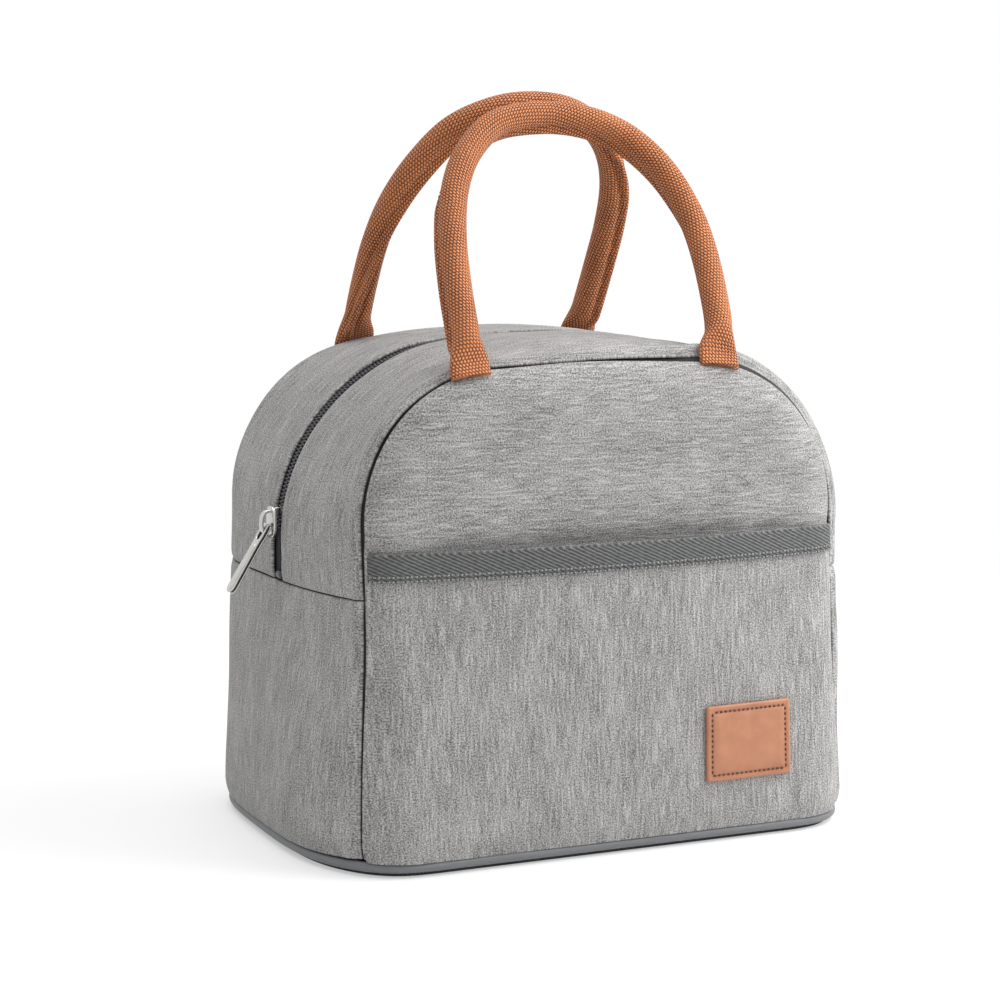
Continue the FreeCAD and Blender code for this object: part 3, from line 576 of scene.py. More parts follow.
def gusset_line(place, foot, inset, side, inner, share):
    """Points along a gusset; share is 0 beside the zip and 1 at the panel seam. The cloth bows between."""
    start = skin(place, 0.0, 0.0, inset, foot, side)
    end = skin(place, 1.0, 1.0, inset, foot, side)
    bow = np.interp(place, (-1, 1), BOWS[side])
    line = start + (end - start) * (share ** bow)[:, None]
    line[:, 1] = side * (inner + (np.abs(end[:, 1]) - inner) * share)
    return line


def gusset_grid(place, foot, inset, side, inner, count, gap=0.0):
    """Columns of points over one gusset, from a distance off the zip to a gap before the panel seam."""
    last = 1 - gap / GUSSET_REACH
    shares = last * (1 - np.linspace(1, 0, count) ** 1.6)
    grid = np.stack([gusset_line(place, foot, inset, side, inner, share) for share in shares], 1)
    if gap:
        grid = grid - grid_normals(grid) * lip((last - shares) * GUSSET_REACH, place, side)[..., None]
    return grid


def places(crown=30, bend=44, straight=18):
    """Places along the arch from foot to foot, closer together where it bends."""
    parts = ((0, 1, crown), (1, 2, bend), (2, 3, straight))
    half = np.concatenate([(0,), *[np.linspace(*part)[1:] for part in parts]])
    return np.concatenate((-half[:0:-1], half))


def panel_y(x, z, inset=0.0, side=-1):
    """Distance of the front or back panel from the middle, with its rounded edge sunk at the seam."""
    bag = shape()
    deep, rise = arch_between(1.0, side).depth(x, z)
    whole = np.arccos(rise * math.sin(bag.lean))
    reach = bag.edge_round - inset
    turn = np.arccos(np.clip(1 - (deep - inset) / reach, -1, 1))
    left = np.clip(whole - turn, 0, None)
    sunk = sink((seam_turn(z) - left) * bag.edge_round) * (inset == 0)
    return face_y(z, inset) - (reach * (1 - np.cos(left)) + sunk) / math.cos(bag.lean)


def under_pocket(z):
    """How far the front sinks under the pocket at a level."""
    return trim().pocket_sink * (1 - smooth((z - POCKET_HIGH.z + 2 * MM) / (8 * MM)))


def panel_outline(foot, inset, gap, up, across, side):
    """Edge of a panel in x and z: left side, top and right side, each from its lower or left end.
    The edge lies closer to its seam over the crown."""
    foot_place, corner = 3.0, 1.55
    rise = foot_place + (corner - foot_place) * up
    edges = []
    for place in (-rise, corner * (2 * across - 1), rise):
        slit = 0.6 + 0.4 * smooth(np.abs(place) / 1.2)
        edges.append(skin(place, 1.0, 1.0, inset, foot, side, gap * slit)[:, ::2])
    return edges


def panel_grid(foot, inset, side, count=120):
    """Points over the front or back panel, closer together at its seam."""
    share = np.linspace(0, 1, count)
    up = 1 - (1 - share) ** 1.5
    across = share - 0.8 * np.sin(2 * math.pi * share) / (2 * math.pi)
    gap = shape().face_edge * SEAM_GAPS[side] if inset == 0 else 0.0
    left, top, right = panel_outline(foot, inset, gap, up, across, side)
    bottom = left[0] + (right[0] - left[0]) * across[:, None]
    u, v = across[None, :, None], up[:, None, None]
    flat = (1 - u) * left[:, None] + u * right[:, None] + (1 - v) * bottom[None] + v * top[None]
    flat = flat - (1 - v) * ((1 - u) * left[0] + u * right[0]) - v * ((1 - u) * left[-1] + u * right[-1])
    x, z = flat[..., 0], flat[..., 1]
    return np.stack((x, side * panel_y(x, z, inset, side), z), -1)


def tucked(grid):
    """Draw points near the floor in towards the middle of the bag, as the base seam does."""
    bag = shape()
    share = np.clip(1 - (grid[..., 2] - SIDE_LOW.z) / bag.tuck_height, 0, 1) ** 2 * bag.tuck
    drawn = grid.copy()
    drawn[..., 0] *= 1 - share / bag.half_width
    drawn[..., 1] *= 1 - share / bag.half_depth
    return drawn


# Height and grain of the dents in each kind of sheet.
PANEL_DENTS = (0.5 * MM, 34 * MM)
GUSSET_DENTS = (0.6 * MM, 30 * MM)
SIDE_DENTS = (0.6 * MM, 32 * MM)
POCKET_DENTS = (0.45 * MM, 30 * MM)
LINING_DENTS = (1.0 * MM, 16 * MM)
FILM_DENTS = (0.9 * MM, 16 * MM)
FLOOR_DENTS = (0.6 * MM, 18 * MM)


def crumple(grid, height, grain, seed):
    """Soft dents and swells in a sheet, square to its surface."""
    normals = grid_normals(grid)
    shift = Vector((seed * 7.3, seed * 3.1, seed * 5.7))
    flat = grid.reshape(-1, 3)
    wave = [noise.noise(Vector(point) / grain + shift) for point in flat]
    return grid + normals * (np.array(wave).reshape(grid.shape[:2]) * height)[..., None]


# Sine between a grid's two directions under which a corner counts as flat.
FLAT_CORNER = 0.03


def unit(rows):
    """Rows of vectors made one long."""
    return rows / np.maximum(np.linalg.norm(rows, axis=-1, keepdims=True), 1e-12)


def grid_normals(grid):
    """Unit normals of a grid of points, away from the middle of the bag. Where the grid's two directions fall
    into one line, as at a corner on a smooth edge, the first sound normal on the way inwards is taken."""
    across, along = unit(np.gradient(grid, axis=1)), unit(np.gradient(grid, axis=0))
    normals = np.cross(across, along)
    flat = np.linalg.norm(normals, axis=-1) < FLAT_CORNER
    middle = np.array(flat.shape) // 2
    for spot in np.argwhere(flat):
        inner = spot.copy()
        while flat[tuple(inner)] and (inner != middle).any():
            inner += np.sign(middle - inner)
        normals[tuple(spot)] = normals[tuple(inner)]
    normals = unit(normals)
    return normals if np.sum(normals * (grid - BAG_MIDDLE)) > 0 else -normals


def square_off(edge, normals, way):
    """Unit vectors square to the edge of a sheet and level with it, on the side that way points to."""
    out = unit(np.cross(edge, normals))
    return out if np.sum(out * way) > 0 else -out


# Meshes.
class Form:
    """Points, faces and cloth coordinates of one piece."""

    def __init__(self):
        self.points = []
        self.faces = []
        self.charts = []

    def add(self, points):
        """Take points in, and say where the first one stands."""
        first = len(self.points)
        self.points.extend(map(tuple, points))
        return first

    def face(self, corners, chart):
        """One face on points, with the cloth coordinates of its corners."""
        self.faces.append(corners)
        self.charts.extend(chart)

    def loops(self, rings, charts):
        """Faces between closed rings of points; a chart has one more column than its ring."""
        rows, columns = rings.shape[:2]
        first = self.add(rings.reshape(-1, 3))
        for row in range(rows - 1):
            low, high = first + row * columns, first + (row + 1) * columns
            for column in range(columns):
                beside = (column + 1) % columns
                near, far = charts[row : row + 2, column : column + 2]
                self.face((low + column, low + beside, high + beside, high + column), (*near, *far[::-1]))
        return first

    def lid(self, first, count, chart):
        """One face on a whole ring."""
        self.face(tuple(range(first, first + count)), chart)

    def cap(self, first, corners, charts):
        """One face on some corners of a ring."""
        self.face(tuple(first + corner for corner in corners), [charts[corner] for corner in corners])

    def piece(self, name):
        """Smooth mesh of these faces, turned to face outwards and put in the scene."""
        mesh = bpy.data.meshes.new(name)
        mesh.from_pydata(self.points, [], self.faces)
        layer = mesh.uv_layers.new(name=CHART)
        layer.data.foreach_set("uv", np.array(self.charts, np.float32).ravel())
        work = bmesh.new()
        work.from_mesh(mesh)
        bmesh.ops.recalc_face_normals(work, faces=work.faces)
        work.to_mesh(mesh)
        work.free()
        mesh.shade_smooth()
        piece = bpy.data.objects.new(name, mesh)
        bpy.context.scene.collection.objects.link(piece)
        return piece


def tie(piece, paint, body=None, half=None, nodes=()):
    """Give a piece its finish and hide the solids it stands for; a piece of a half has its place baked into
    its points, and any other piece is attached to the body that it moves with.
    """
    if not piece.data.materials:
        piece.data.materials.append(finish_of(paint))
    if nodes:
        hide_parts(*nodes)
    if half:
        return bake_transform(piece)
    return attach(piece, body)


# Parts of the half circle along a sheet's sides, and the turns of the rings that round its ends, in radians.
RIM = 4
END_TURNS = (0.45, 0.9, 1.35)


def sheet(name, grid, chart, thick):
    """Closed sheet of cloth: the grid is its outer face, and its edges are rounded."""
    normals = grid_normals(grid)
    middle = grid - normals * thick / 2
    across, along = np.gradient(grid, axis=1), np.gradient(grid, axis=0)
    turns = np.linspace(0, math.pi, RIM + 1)[1:-1]
    half = thick / 2
    right = square_off(along[:, -1], normals[:, -1], across[:, -1])
    left = square_off(along[:, 0], normals[:, 0], -across[:, 0])
    last = [half * (normals[:, -1] * math.cos(turn) + right * math.sin(turn)) for turn in turns]
    first = [half * (left * math.sin(turn) - normals[:, 0] * math.cos(turn)) for turn in turns]
    shifts = np.concatenate(
        (normals * half, np.stack(last, 1), -normals[:, ::-1] * half, np.stack(first, 1)), axis=1
    )
    columns = grid.shape[1]
    order = [*range(columns), *[columns - 1] * (RIM - 1), *reversed(range(columns)), *[0] * (RIM - 1)]
    cores, charts = middle[:, order], chart[:, [*order, 0]]
    ends = []
    for row, way in ((0, -along[0]), (-1, along[-1])):
        push = square_off(across[row], normals[row], way)[order] * half
        ends.append([cores[row] + push * math.sin(turn) + shifts[row] * math.cos(turn) for turn in END_TURNS])
    rings = np.concatenate((ends[0][::-1], cores + shifts, ends[1]))
    extra = len(END_TURNS)
    charts = np.concatenate((charts[:1].repeat(extra, 0), charts, charts[-1:].repeat(extra, 0)))
    form = Form()
    start = form.loops(rings, charts)
    size = len(order)
    for row in (0, len(rings) - 1):
        ring = start + row * size
        for column in range(columns - 1):
            under = 2 * columns + RIM - 2 - column
            form.cap(ring, (column, column + 1, under - 1, under), charts[row])
        for low, high in ((columns - 1, columns + RIM - 1), (2 * columns + RIM - 2, size)):
            form.cap(ring, [corner % size for corner in range(low, high + 1)], charts[row])
    return form.piece(name)


def flat_chart(grid, across=0, along=2):
    """Cloth coordinates that are two of the bag's own axes."""
    return np.stack((grid[..., across], grid[..., along]), -1)


def distances(line):
    """Distance along a line to each of its points."""
    return np.concatenate(((0,), np.cumsum(np.linalg.norm(np.diff(line, axis=0), axis=-1))))


def at_marks(rows, gone, marks):
    """Rows that go with distances along a line, read at marks between them."""
    return np.stack([np.interp(marks, gone, column) for column in rows.T], -1)


def strip_chart(grid):
    """Cloth coordinates measured over the surface: along its middle row and its middle column."""
    across, along = distances(grid[grid.shape[0] // 2]), distances(grid[:, grid.shape[1] // 2])
    return np.stack(np.meshgrid(across, along), -1)


def capsule(long, wide, high, rings=7, sides=8):
    """A small rounded bar about the origin: long on its first axis, wide on its second, high on its third."""
    turns = np.linspace(0, math.pi, rings)
    round_ = np.linspace(0, 2 * math.pi, sides, endpoint=False)
    rows = []
    for turn in turns[1:-1]:
        reach = math.sin(turn) ** 0.5
        along = -math.cos(turn) * long / 2
        rows.append([(along, reach * wide / 2 * math.cos(a), reach * high / 2 * math.sin(a)) for a in round_])
    return np.array(rows)


def row_of_bars(name, spots, bar):
    """Copies of a bar at spots, each an origin with the directions of the bar's three axes."""
    form = Form()
    rings, sides = bar.shape[:2]
    cell = 0.2 * MM
    chart = np.stack(np.meshgrid(np.arange(sides + 1) * cell, np.arange(rings) * cell), -1)
    for number, (origin, axes) in enumerate(spots):
        points = bar @ np.array(axes) + origin
        shifted = chart + (number * 1.37 * MM, number * 0.71 * MM)
        first = form.loops(points, shifted)
        for ring in (0, rings - 1):
            form.lid(first + ring * sides, sides, [shifted[ring, 0]] * sides)
    return form.piece(name)


def along_line(points, normals, step, start=0.0):
    """Spots at an even step along a line of points: origin, direction and normal."""
    gone = distances(points)
    marks = np.arange(start + step / 2, gone[-1], step)
    ahead = at_marks(points, gone, marks + step / 4) - at_marks(points, gone, marks - step / 4)
    return at_marks(points, gone, marks), ahead, at_marks(normals, gone, marks)


def stitches(name, points, normals, step, long, thick=0.45 * MM, sink=0.35):
    """A row of sewing stitches along a line on a surface."""
    spots = []
    for origin, ahead, facing in zip(*along_line(points, normals, step)):
        ahead, facing = Vector(ahead).normalized(), Vector(facing).normalized()
        beside = facing.cross(ahead).normalized()
        spots.append((Vector(origin) + facing * thick * (0.5 - sink), (ahead, beside, facing)))
    return row_of_bars(name, spots, capsule(long, thick, thick, 6, 6))


def forwards(line):
    """Normals to the front at the points of a line."""
    return np.tile((0.0, -1.0, 0.0), (len(line), 1))


# Pieces of the bag.

# Middle of a cross seam to the cloth above and below it, and how deep and wide that cloth sinks.
CROSS_EDGE = 0.75 * MM
CROSS_DEPTH, CROSS_WIDTH = 0.6 * MM, 2.2 * MM


def crossed(grid):
    """Sink points beside the cross seam between a side and the gussets."""
    depth = CROSS_DEPTH * np.exp(-(((grid[..., 2] - SIDE_HIGH.z) / CROSS_WIDTH) ** 2))
    return grid - grid_normals(grid) * depth[..., None]


def front_and_back():
    """Padded front and back panels, each from the base to the top seam."""
    for name, side in SIDES:
        grid = panel_grid(SIDE_LOW.z, 0.0, side)
        if side < 0:
            grid[..., 1] += under_pocket(grid[..., 2])
        grid = tucked(crumple(grid, *PANEL_DENTS, side))
        panel = sheet(f"{name}_panel", grid, flat_chart(grid, 2, 0), shape().cloth)
        nodes = (f"{name}_panel_lower", f"{name}_panel_upper")
        tie(panel, heather_cloth, half=f"{name}_half", nodes=nodes)


# Share of the zip's opening in the cloth at its ends, and below the slider.
END_OPENING, SLIDER_OPENING = 0.5, 1.12


def zip_reach(place):
    """Middle of the zip to the edge of the cloth: less at the end of the zip, and more below the slider."""
    z = arch_between(0.0).at(place, SIDE_HIGH.z)[1]
    below = smooth((SLIDER_LOW.z + 6 * MM - z) / (8 * MM)) * (place < 0)
    closed = END_OPENING + (1 - END_OPENING) * smooth((z - SIDE_HIGH.z) / (18 * MM))
    return shape().zip_half * (closed + (SLIDER_OPENING - closed) * below)


def gussets():
    """Padded strips beside the zip, over the arch from cross seam to cross seam."""
    bag = shape()
    place = places()
    for name, side in SIDES:
        foot = SIDE_HIGH.z + CROSS_EDGE
        grid = gusset_grid(place, foot, 0.0, side, zip_reach(place), 46, bag.seam_edge * SEAM_GAPS[side])
        grid = crossed(crumple(grid, *GUSSET_DENTS, side + 4))
        gusset = sheet(f"{name}_gusset", grid, strip_chart(grid), bag.cloth)
        nodes = (f"{name}_gusset_panel", f"{name}_gusset_ends")
        tie(gusset, heather_cloth, half=f"{name}_half", nodes=nodes)


def side_grid(end, inset, low, high, rows, count, gap=0.0):
    """Points over the left or right side, from the front seam to the rear seam."""
    place = np.full(rows, end * 3.0)
    foot = np.linspace(low, high, rows)
    front = gusset_grid(place, foot, inset, -1, 0.0, count, gap)
    rear = gusset_grid(place, foot, inset, 1, 0.0, count, gap)
    grid = np.concatenate((front[:, ::-1], rear[:, 1:]), 1)
    y, z = grid[..., 1], grid[..., 2]
    bulge = np.exp(-(((z - SWELL_LEVEL) / SWELL_FADE) ** 2)) * smooth((SIDE_HIGH.z - z) / SWELL_END)
    rearward = y / y[:, -1:]
    grid[..., 0] += end * shape().swell * SWELLS[end] * bulge * (1 - rearward ** 4) * (1 - 0.35 * rearward)
    return grid


def side_walls():
    """Padded sides below the cross seam."""
    bag = shape()
    rows = 80
    for name, end in ENDS:
        grid = side_grid(end, 0.0, SIDE_LOW.z, SIDE_HIGH.z - CROSS_EDGE, rows, 46, bag.seam_edge)
        grid = tucked(crossed(crumple(grid, *SIDE_DENTS, end + 8)))
        wall = sheet(f"{name}_side", grid, flat_chart(grid, 1, 2), bag.cloth)
        tie(wall, heather_cloth, body="bag", nodes=(f"{name}_side_panel",))


def seam_shadow_strips():
    """Thin strips painted as the shadow at the bottom of the panel seams and the cross seams."""
    half, thick = 3.4 * MM, 0.5 * MM
    place = places()
    for name, side in SIDES:
        raised = 1.7 * MM * on_shoulder(place) * (place > 0) * (side < 0)
        deep = 2.7 * MM - raised
        edge = gusset_line(place, SIDE_LOW.z, deep, side, 0.0, 1 - half / GUSSET_REACH)
        lines = [skin(place, 1.0, 1.0, deep, SIDE_LOW.z, side, past) for past in (0.0, half)]
        grid = np.stack((edge, *lines), 1)
        # A thin sheet in the groove, painted near-black as the seam's shadow.
        shade_strip = sheet(f"{name}_seam_shadow_strip", tucked(grid), strip_chart(grid), thick)
        tie(shade_strip, seam_shadow, half=f"{name}_half")
    for name, end in ENDS:
        reach = 2.4 * MM
        grid = side_grid(end, 1.6 * MM, SIDE_HIGH.z - reach, SIDE_HIGH.z + reach, 5, 24, 3 * MM)
        shade_strip = sheet(f"{name}_cross_shadow_strip", grid, flat_chart(grid, 1, 2), thick)
        tie(shade_strip, seam_shadow, body="bag")


def pocket_y(x, z):
    """Distance of the outside of the pocket from the middle of the bag."""
    bag, cut = shape(), trim()
    share = np.clip((z - POCKET_LOW.z) / (POCKET_HIGH.z - POCKET_LOW.z), 0, 1)
    slack = cut.foot_slack + (cut.pocket_slack - cut.foot_slack) * share
    flat = bag.half_width - bag.edge_round
    bow = np.clip(1 - (x / flat) ** 2, 0, 1)
    return panel_y(x, z) - under_pocket(z) + cut.pocket_off + slack * bow


def pocket_grid(low, high, off, rows, columns=140):
    """Points over the pocket between two levels, off its outside."""
    levels = np.linspace(low, high, rows)
    edge = skin(np.full(rows, 3.0), 1.0, 1.0, 0.0, levels, -1, shape().face_edge)[:, 0]
    share = np.linspace(0, 1, columns)
    across = 2 * share - 1 - 0.8 * np.sin(2 * math.pi * share) / math.pi
    x, z = edge[:, None] * across, np.repeat(levels[:, None], columns, 1)
    return np.stack((x, -(pocket_y(x, z) + off), z), -1)


def pocket():
    """Slip pocket with twill webbing sewn along its mouth by two rows of stitches."""
    cut = trim()
    grid = crumple(pocket_grid(SIDE_LOW.z, POCKET_HIGH.z - MM, 0.0, 90), *POCKET_DENTS, 12)
    panel = sheet("pocket", tucked(grid), flat_chart(grid), shape().cloth)
    tie(panel, heather_cloth, body="bag", nodes=("pocket_panel",))
    low, high = HEM_LOW.z + 1.6 * MM, HEM_HIGH.z - MM
    grid = pocket_grid(low, high, cut.hem, 9).transpose(1, 0, 2)
    hem = sheet("pocket_hem_band", grid, flat_chart(grid, 2, 0), cut.hem + 0.1 * MM)
    tie(hem, twill_hem, body="bag", nodes=("pocket_hem",))
    for number, level in enumerate((low - 0.1 * MM, low + 1.5 * MM)):
        line = pocket_grid(level, level, cut.hem, 1, 400)[0]
        line = line[np.abs(line[:, 0]) < shape().half_width - 9 * MM]
        row = stitches(f"hem_stitches_{number + 1}", line, forwards(line), 1.7 * MM, 1.25 * MM, 0.75 * MM)
        tie(row, pale_thread, body="bag")


def patch():
    """Leather patch with a pressed border, a raised field and stitching near its edge."""
    cut = trim()
    middle = (PATCH_LOW + PATCH_HIGH) / 2
    trimmed = cut.patch_thick / 2
    half_wide = (PATCH_HIGH.x - PATCH_LOW.x) / 2 - trimmed
    half_tall = (PATCH_HIGH.z - PATCH_LOW.z) / 2 - trimmed
    x, z = np.meshgrid(np.linspace(-1, 1, 90) * half_wide, np.linspace(-1, 1, 70) * half_tall)
    edge = np.minimum(half_wide - np.abs(x), half_tall - np.abs(z))
    border = 1.5 * MM
    groove = 0.3 * MM * np.exp(-(((edge - border) / (0.6 * MM)) ** 2))
    field = 0.35 * MM * smooth((edge - border) / (3 * MM))
    grid = patch_point(x, z, middle, cut.patch_thick - (groove - field))
    piece = sheet("leather_patch", grid, np.stack((x, z), -1), cut.patch_thick)
    tie(piece, tan_leather, body="bag", nodes=("patch",))
    corner_x, corner_z = half_wide - border, half_tall - border
    corners = ((-1, -1), (1, -1), (1, 1), (-1, 1), (-1, -1))
    runs = [np.linspace(first, last, 60) for first, last in zip(corners, corners[1:])]
    for number, run in enumerate(runs):
        line = patch_point(run[:, 0] * corner_x, run[:, 1] * corner_z, middle, cut.patch_thick - 0.25 * MM)
        row = stitches(f"patch_stitches_{number + 1}", line, forwards(line), 2.0 * MM, 1.35 * MM, 0.8 * MM)
        tie(row, leather_edge, body="bag")


def patch_point(x, z, middle, off):
    """Points over the patch, off the pocket that carries it."""
    across, level = middle.x + x, middle.z + z
    return np.stack((across, -(pocket_y(across, level) + off), level), -1)


def spaced(line, count):
    """Points at even distances along a line, with those distances."""
    gone = distances(line)
    marks = np.linspace(0, gone[-1], count)
    return at_marks(line, gone, marks), marks


def base_outline(inset, count=481):
    """Outline of the walls at their foot, rounded where the seams meet it and taken in by inset."""
    foot = SIDE_LOW.z
    past = np.linspace(0, float(seam_turn(foot)) * shape().edge_round, 10)
    runs = []
    for end in (1, -1):
        runs.append(side_grid(end, 0.0, foot, foot, 2, 12)[0, ::end])
        corner = skin(np.full(10, 3.0), 1.0, 1.0, 0.0, foot, end, past)
        runs.append(corner * (end, 1, 1))
        runs.append(corner[::-1] * (-end, 1, 1))
    line = tucked(np.concatenate((*runs, runs[0][:1])))[:, :2]
    line = spaced(line, count)[0][:-1]
    soften = 6
    line = sum(np.roll(line, step, 0) for step in range(-soften, soften + 1)) / (2 * soften + 1)
    ahead = np.roll(line, -1, 0) - np.roll(line, 1, 0)
    out = unit(np.stack((ahead[:, 1], -ahead[:, 0]), -1))
    return line - out * inset, out


def lifted(line, z):
    """Points of a flat line at a level."""
    return np.column_stack((line, np.full(len(line), z)))


def base():
    """Base panel under the bag, and the piping sewn round it."""
    radius = (PIPING_HIGH.z - PIPING_LOW.z) / 2
    level = (PIPING_HIGH.z + PIPING_LOW.z) / 2
    outline, out = base_outline(radius - 0.3 * MM)
    turns = np.linspace(0, 2 * math.pi, 21)
    wheel = [(radius * math.cos(turn), level + radius * math.sin(turn)) for turn in turns]
    rings = [lifted(outline + out * reach, z) for reach, z in wheel]
    marks = spaced(np.concatenate((outline, outline[:1])), len(outline) + 1)[1]
    chart = np.stack(np.meshgrid(marks, turns * radius)[::-1], -1)
    form = Form()
    form.loops(np.stack(rings), chart)
    piping = form.piece("piping")
    weld(piping)
    tie(piping, piping_vinyl, body="bag", nodes=("base_piping",))
    outline = base_outline(2 * radius)[0]
    shares = np.linspace(1, 0.02, 18)
    form = Form()
    levels = ((0.0, shares[::-1]), (BASE_HIGH.z + 0.6 * MM, shares))
    rings = np.stack([lifted(outline * share, z) for z, row in levels for share in row])
    closed = np.concatenate((rings, rings[:, :1]), 1)
    first = form.loops(rings, closed[..., :2])
    for row in (0, len(rings) - 1):
        form.lid(first + row * len(outline), len(outline), rings[row, :, :2])
    tie(form.piece("base"), base_cloth, body="bag", nodes=("base_panel",))


def weld(piece):
    """Join points that lie on each other."""
    work = bmesh.new()
    work.from_mesh(piece.data)
    bmesh.ops.remove_doubles(work, verts=work.verts, dist=1e-6)
    work.to_mesh(piece.data)
    work.free()


def lining():
    """Silver film inside the walls, over the foam."""
    bag = shape()
    low = FLOOR_LINING_HIGH.z
    for name, side in SIDES:
        grid = crumple(panel_grid(low, bag.wall, side, 70), *LINING_DENTS, side + 20)
        panel = sheet(f"{name}_lining", grid, flat_chart(grid), bag.lining)
        layers = ("lining", "foam")
        nodes = [f"{name}_{layer}_{part}" for layer in layers for part in ("lower", "upper")]
        tie(panel, lining_foil, half=f"{name}_half", nodes=nodes)
        grid = gusset_grid(places(16, 24, 10), SIDE_HIGH.z, bag.wall, side, bag.tape_edge, 26)
        grid = crumple(grid, *FILM_DENTS, side + 24)
        strip = sheet(f"{name}_gusset_film", grid, strip_chart(grid), bag.lining)
        nodes = [f"{name}_gusset_{layer}" for layer in layers]
        tie(strip, lining_foil, half=f"{name}_half", nodes=nodes)
    for name, end in ENDS:
        grid = crumple(side_grid(end, bag.wall, low, SIDE_HIGH.z, 40, 38), *FILM_DENTS, end + 28)
        wall = sheet(f"{name}_film", grid, flat_chart(grid, 1, 2), bag.lining)
        tie(wall, lining_foil, body="bag", nodes=(f"{name}_lining", f"{name}_foam"))
    x, y = np.meshgrid(np.linspace(-1, 1, 60), np.linspace(-1, 1, 50))
    reach_x, reach_y = bag.half_width - bag.wall - MM, bag.half_depth - bag.wall - MM
    power = 8
    corner = (np.abs(x) ** power + np.abs(y) ** power) ** (1 / power)
    round_ = np.maximum(np.abs(x), np.abs(y)) / np.maximum(corner, 1e-9)
    grid = np.stack((x * round_ * reach_x, y * round_ * reach_y, np.full(x.shape, low)), -1)
    floor = sheet("floor_film", crumple(grid, *FLOOR_DENTS, 31), flat_chart(grid, 0, 1), bag.lining)
    tie(floor, lining_foil, body="bag", nodes=("base_lining", "base_foam", "base_board"))


def zip_line(inset, y):
    """Points and normals along the zip at a depth under the cloth and a distance off its middle."""
    place = places(60, 120, 50)
    x, z, out, up = arch_between(0.0).at(place, SIDE_HIGH.z)
    points = np.stack((x - inset * out, np.full(len(x), y), z - inset * up), -1)
    return points, np.stack((out, np.zeros(len(x)), up), -1)


# Coil teeth over their tape and off the middle of the zip.
TOOTH_LIFT, TOOTH_OFF = 0.55 * MM, 1.15 * MM


def zip_fastener():
    """Both tapes, the two rows of coil teeth that mesh along the middle, and a stop at each end."""
    bag, cut = shape(), trim()
    for name, side in SIDES:
        reach = np.linspace(0.5 * MM, bag.tape_edge, 9)
        grid = np.stack([zip_line(bag.tape_drop, side * y)[0] for y in reach], 1)
        tape = sheet(f"{name}_tape", grid, strip_chart(grid), bag.tape)
        nodes = (f"{name}_zip_tape", "zip_tape_ends") if side < 0 else (f"{name}_zip_tape",)
        tie(tape, zip_tape, half=f"{name}_half", nodes=nodes)
        points, normals = zip_line(bag.tape_drop - TOOTH_LIFT, side * TOOTH_OFF)
        closed = (points[:, 0] > 0) | (points[:, 2] > SLIDER_LOW.z + 2 * MM)
        points, normals = points[closed], normals[closed]
        spots = []
        start = 3 * MM + (side + 1) / 4 * cut.tooth_pitch
        for origin, ahead, facing in zip(*along_line(points, normals, cut.tooth_pitch, start)):
            facing, ahead = Vector(facing).normalized(), Vector(ahead).normalized()
            spots.append((Vector(origin), (Vector((0, 1, 0)), ahead, facing)))
        teeth = row_of_bars(f"{name}_teeth", spots, capsule(3.5 * MM, 0.72 * MM, 1.3 * MM, 7, 8))
        tie(teeth, coil_nylon, half=f"{name}_half", nodes=(f"{name}_zip_coil",))
    spots = []
    for end in (-1, 1):
        origin = Vector((end * (bag.half_width - bag.tape_drop + 0.6 * MM), 0, SIDE_HIGH.z + 2 * MM))
        spots.append((origin, (Vector((0, 1, 0)), Vector((0, 0, 1)), Vector((end, 0, 0)))))
    stops = row_of_bars("zip_stops", spots, capsule(5.4 * MM, 3.2 * MM, 1.8 * MM, 9, 12))
    tie(stops, coil_nylon, body="bag", nodes=("zip_end_stops",))


def slab(name, loops, thick, bevel):
    """Flat bevelled plate in the plane of its first two axes; the loops after the first are holes."""
    curve = bpy.data.curves.new(name, "CURVE")
    curve.dimensions = "2D"
    curve.fill_mode = "BOTH"
    curve.extrude = thick / 2 - bevel
    curve.bevel_depth = bevel
    curve.bevel_resolution = 3
    curve.offset = -bevel
    for loop in loops:
        spline = curve.splines.new("POLY")
        spline.points.add(len(loop) - 1)
        spline.use_cyclic_u = True
        for point, (x, y) in zip(spline.points, loop):
            point.co = (x, y, 0, 1)
    maker = bpy.data.objects.new(name, curve)
    bpy.context.scene.collection.objects.link(maker)
    bpy.context.view_layer.update()
    mesh = bpy.data.meshes.new_from_object(maker.evaluated_get(bpy.context.evaluated_depsgraph_get()))
    bpy.data.objects.remove(maker)
    bpy.data.curves.remove(curve)
    return mesh


def join(name, meshes):
    """One piece from several meshes and their places, with cloth coordinates from the bag's own axes."""
    work = bmesh.new()
    for mesh, place in meshes:
        mesh.transform(place)
        work.from_mesh(mesh)
        bpy.data.meshes.remove(mesh)
    bmesh.ops.remove_doubles(work, verts=work.verts, dist=1e-6)
    bmesh.ops.recalc_face_normals(work, faces=work.faces)
    mesh = bpy.data.meshes.new(name)
    work.to_mesh(mesh)
    work.free()
    layer = mesh.uv_layers.new(name=CHART)
    for loop in mesh.loops:
        point = mesh.vertices[loop.vertex_index].co
        layer.data[loop.index].uv = (point.x + point.y, point.z)
    mesh.shade_smooth()
    mesh.set_sharp_from_angle(angle=math.radians(40))
    piece = bpy.data.objects.new(name, mesh)
    bpy.context.scene.collection.objects.link(piece)
    return piece


def oval(half_wide, low, high, count=20):
    """Closed loop with round ends between two levels."""
    turns = np.linspace(0, math.pi, count)
    top = [(half_wide * math.cos(turn), high - half_wide + half_wide * math.sin(turn)) for turn in turns]
    bottom = [(-half_wide * math.cos(turn), low + half_wide - half_wide * math.sin(turn)) for turn in turns]
    return top + bottom


# Axes of the slider: first across the zip to the front, second up the zip, third out from the left side.
SLIDER_AXES = Matrix(((0, 0, -1), (-1, 0, 0), (0, 1, 0))).to_4x4()


def pushed(off):
    """Shift along the third axis."""
    return Matrix.Translation((0, 0, off))


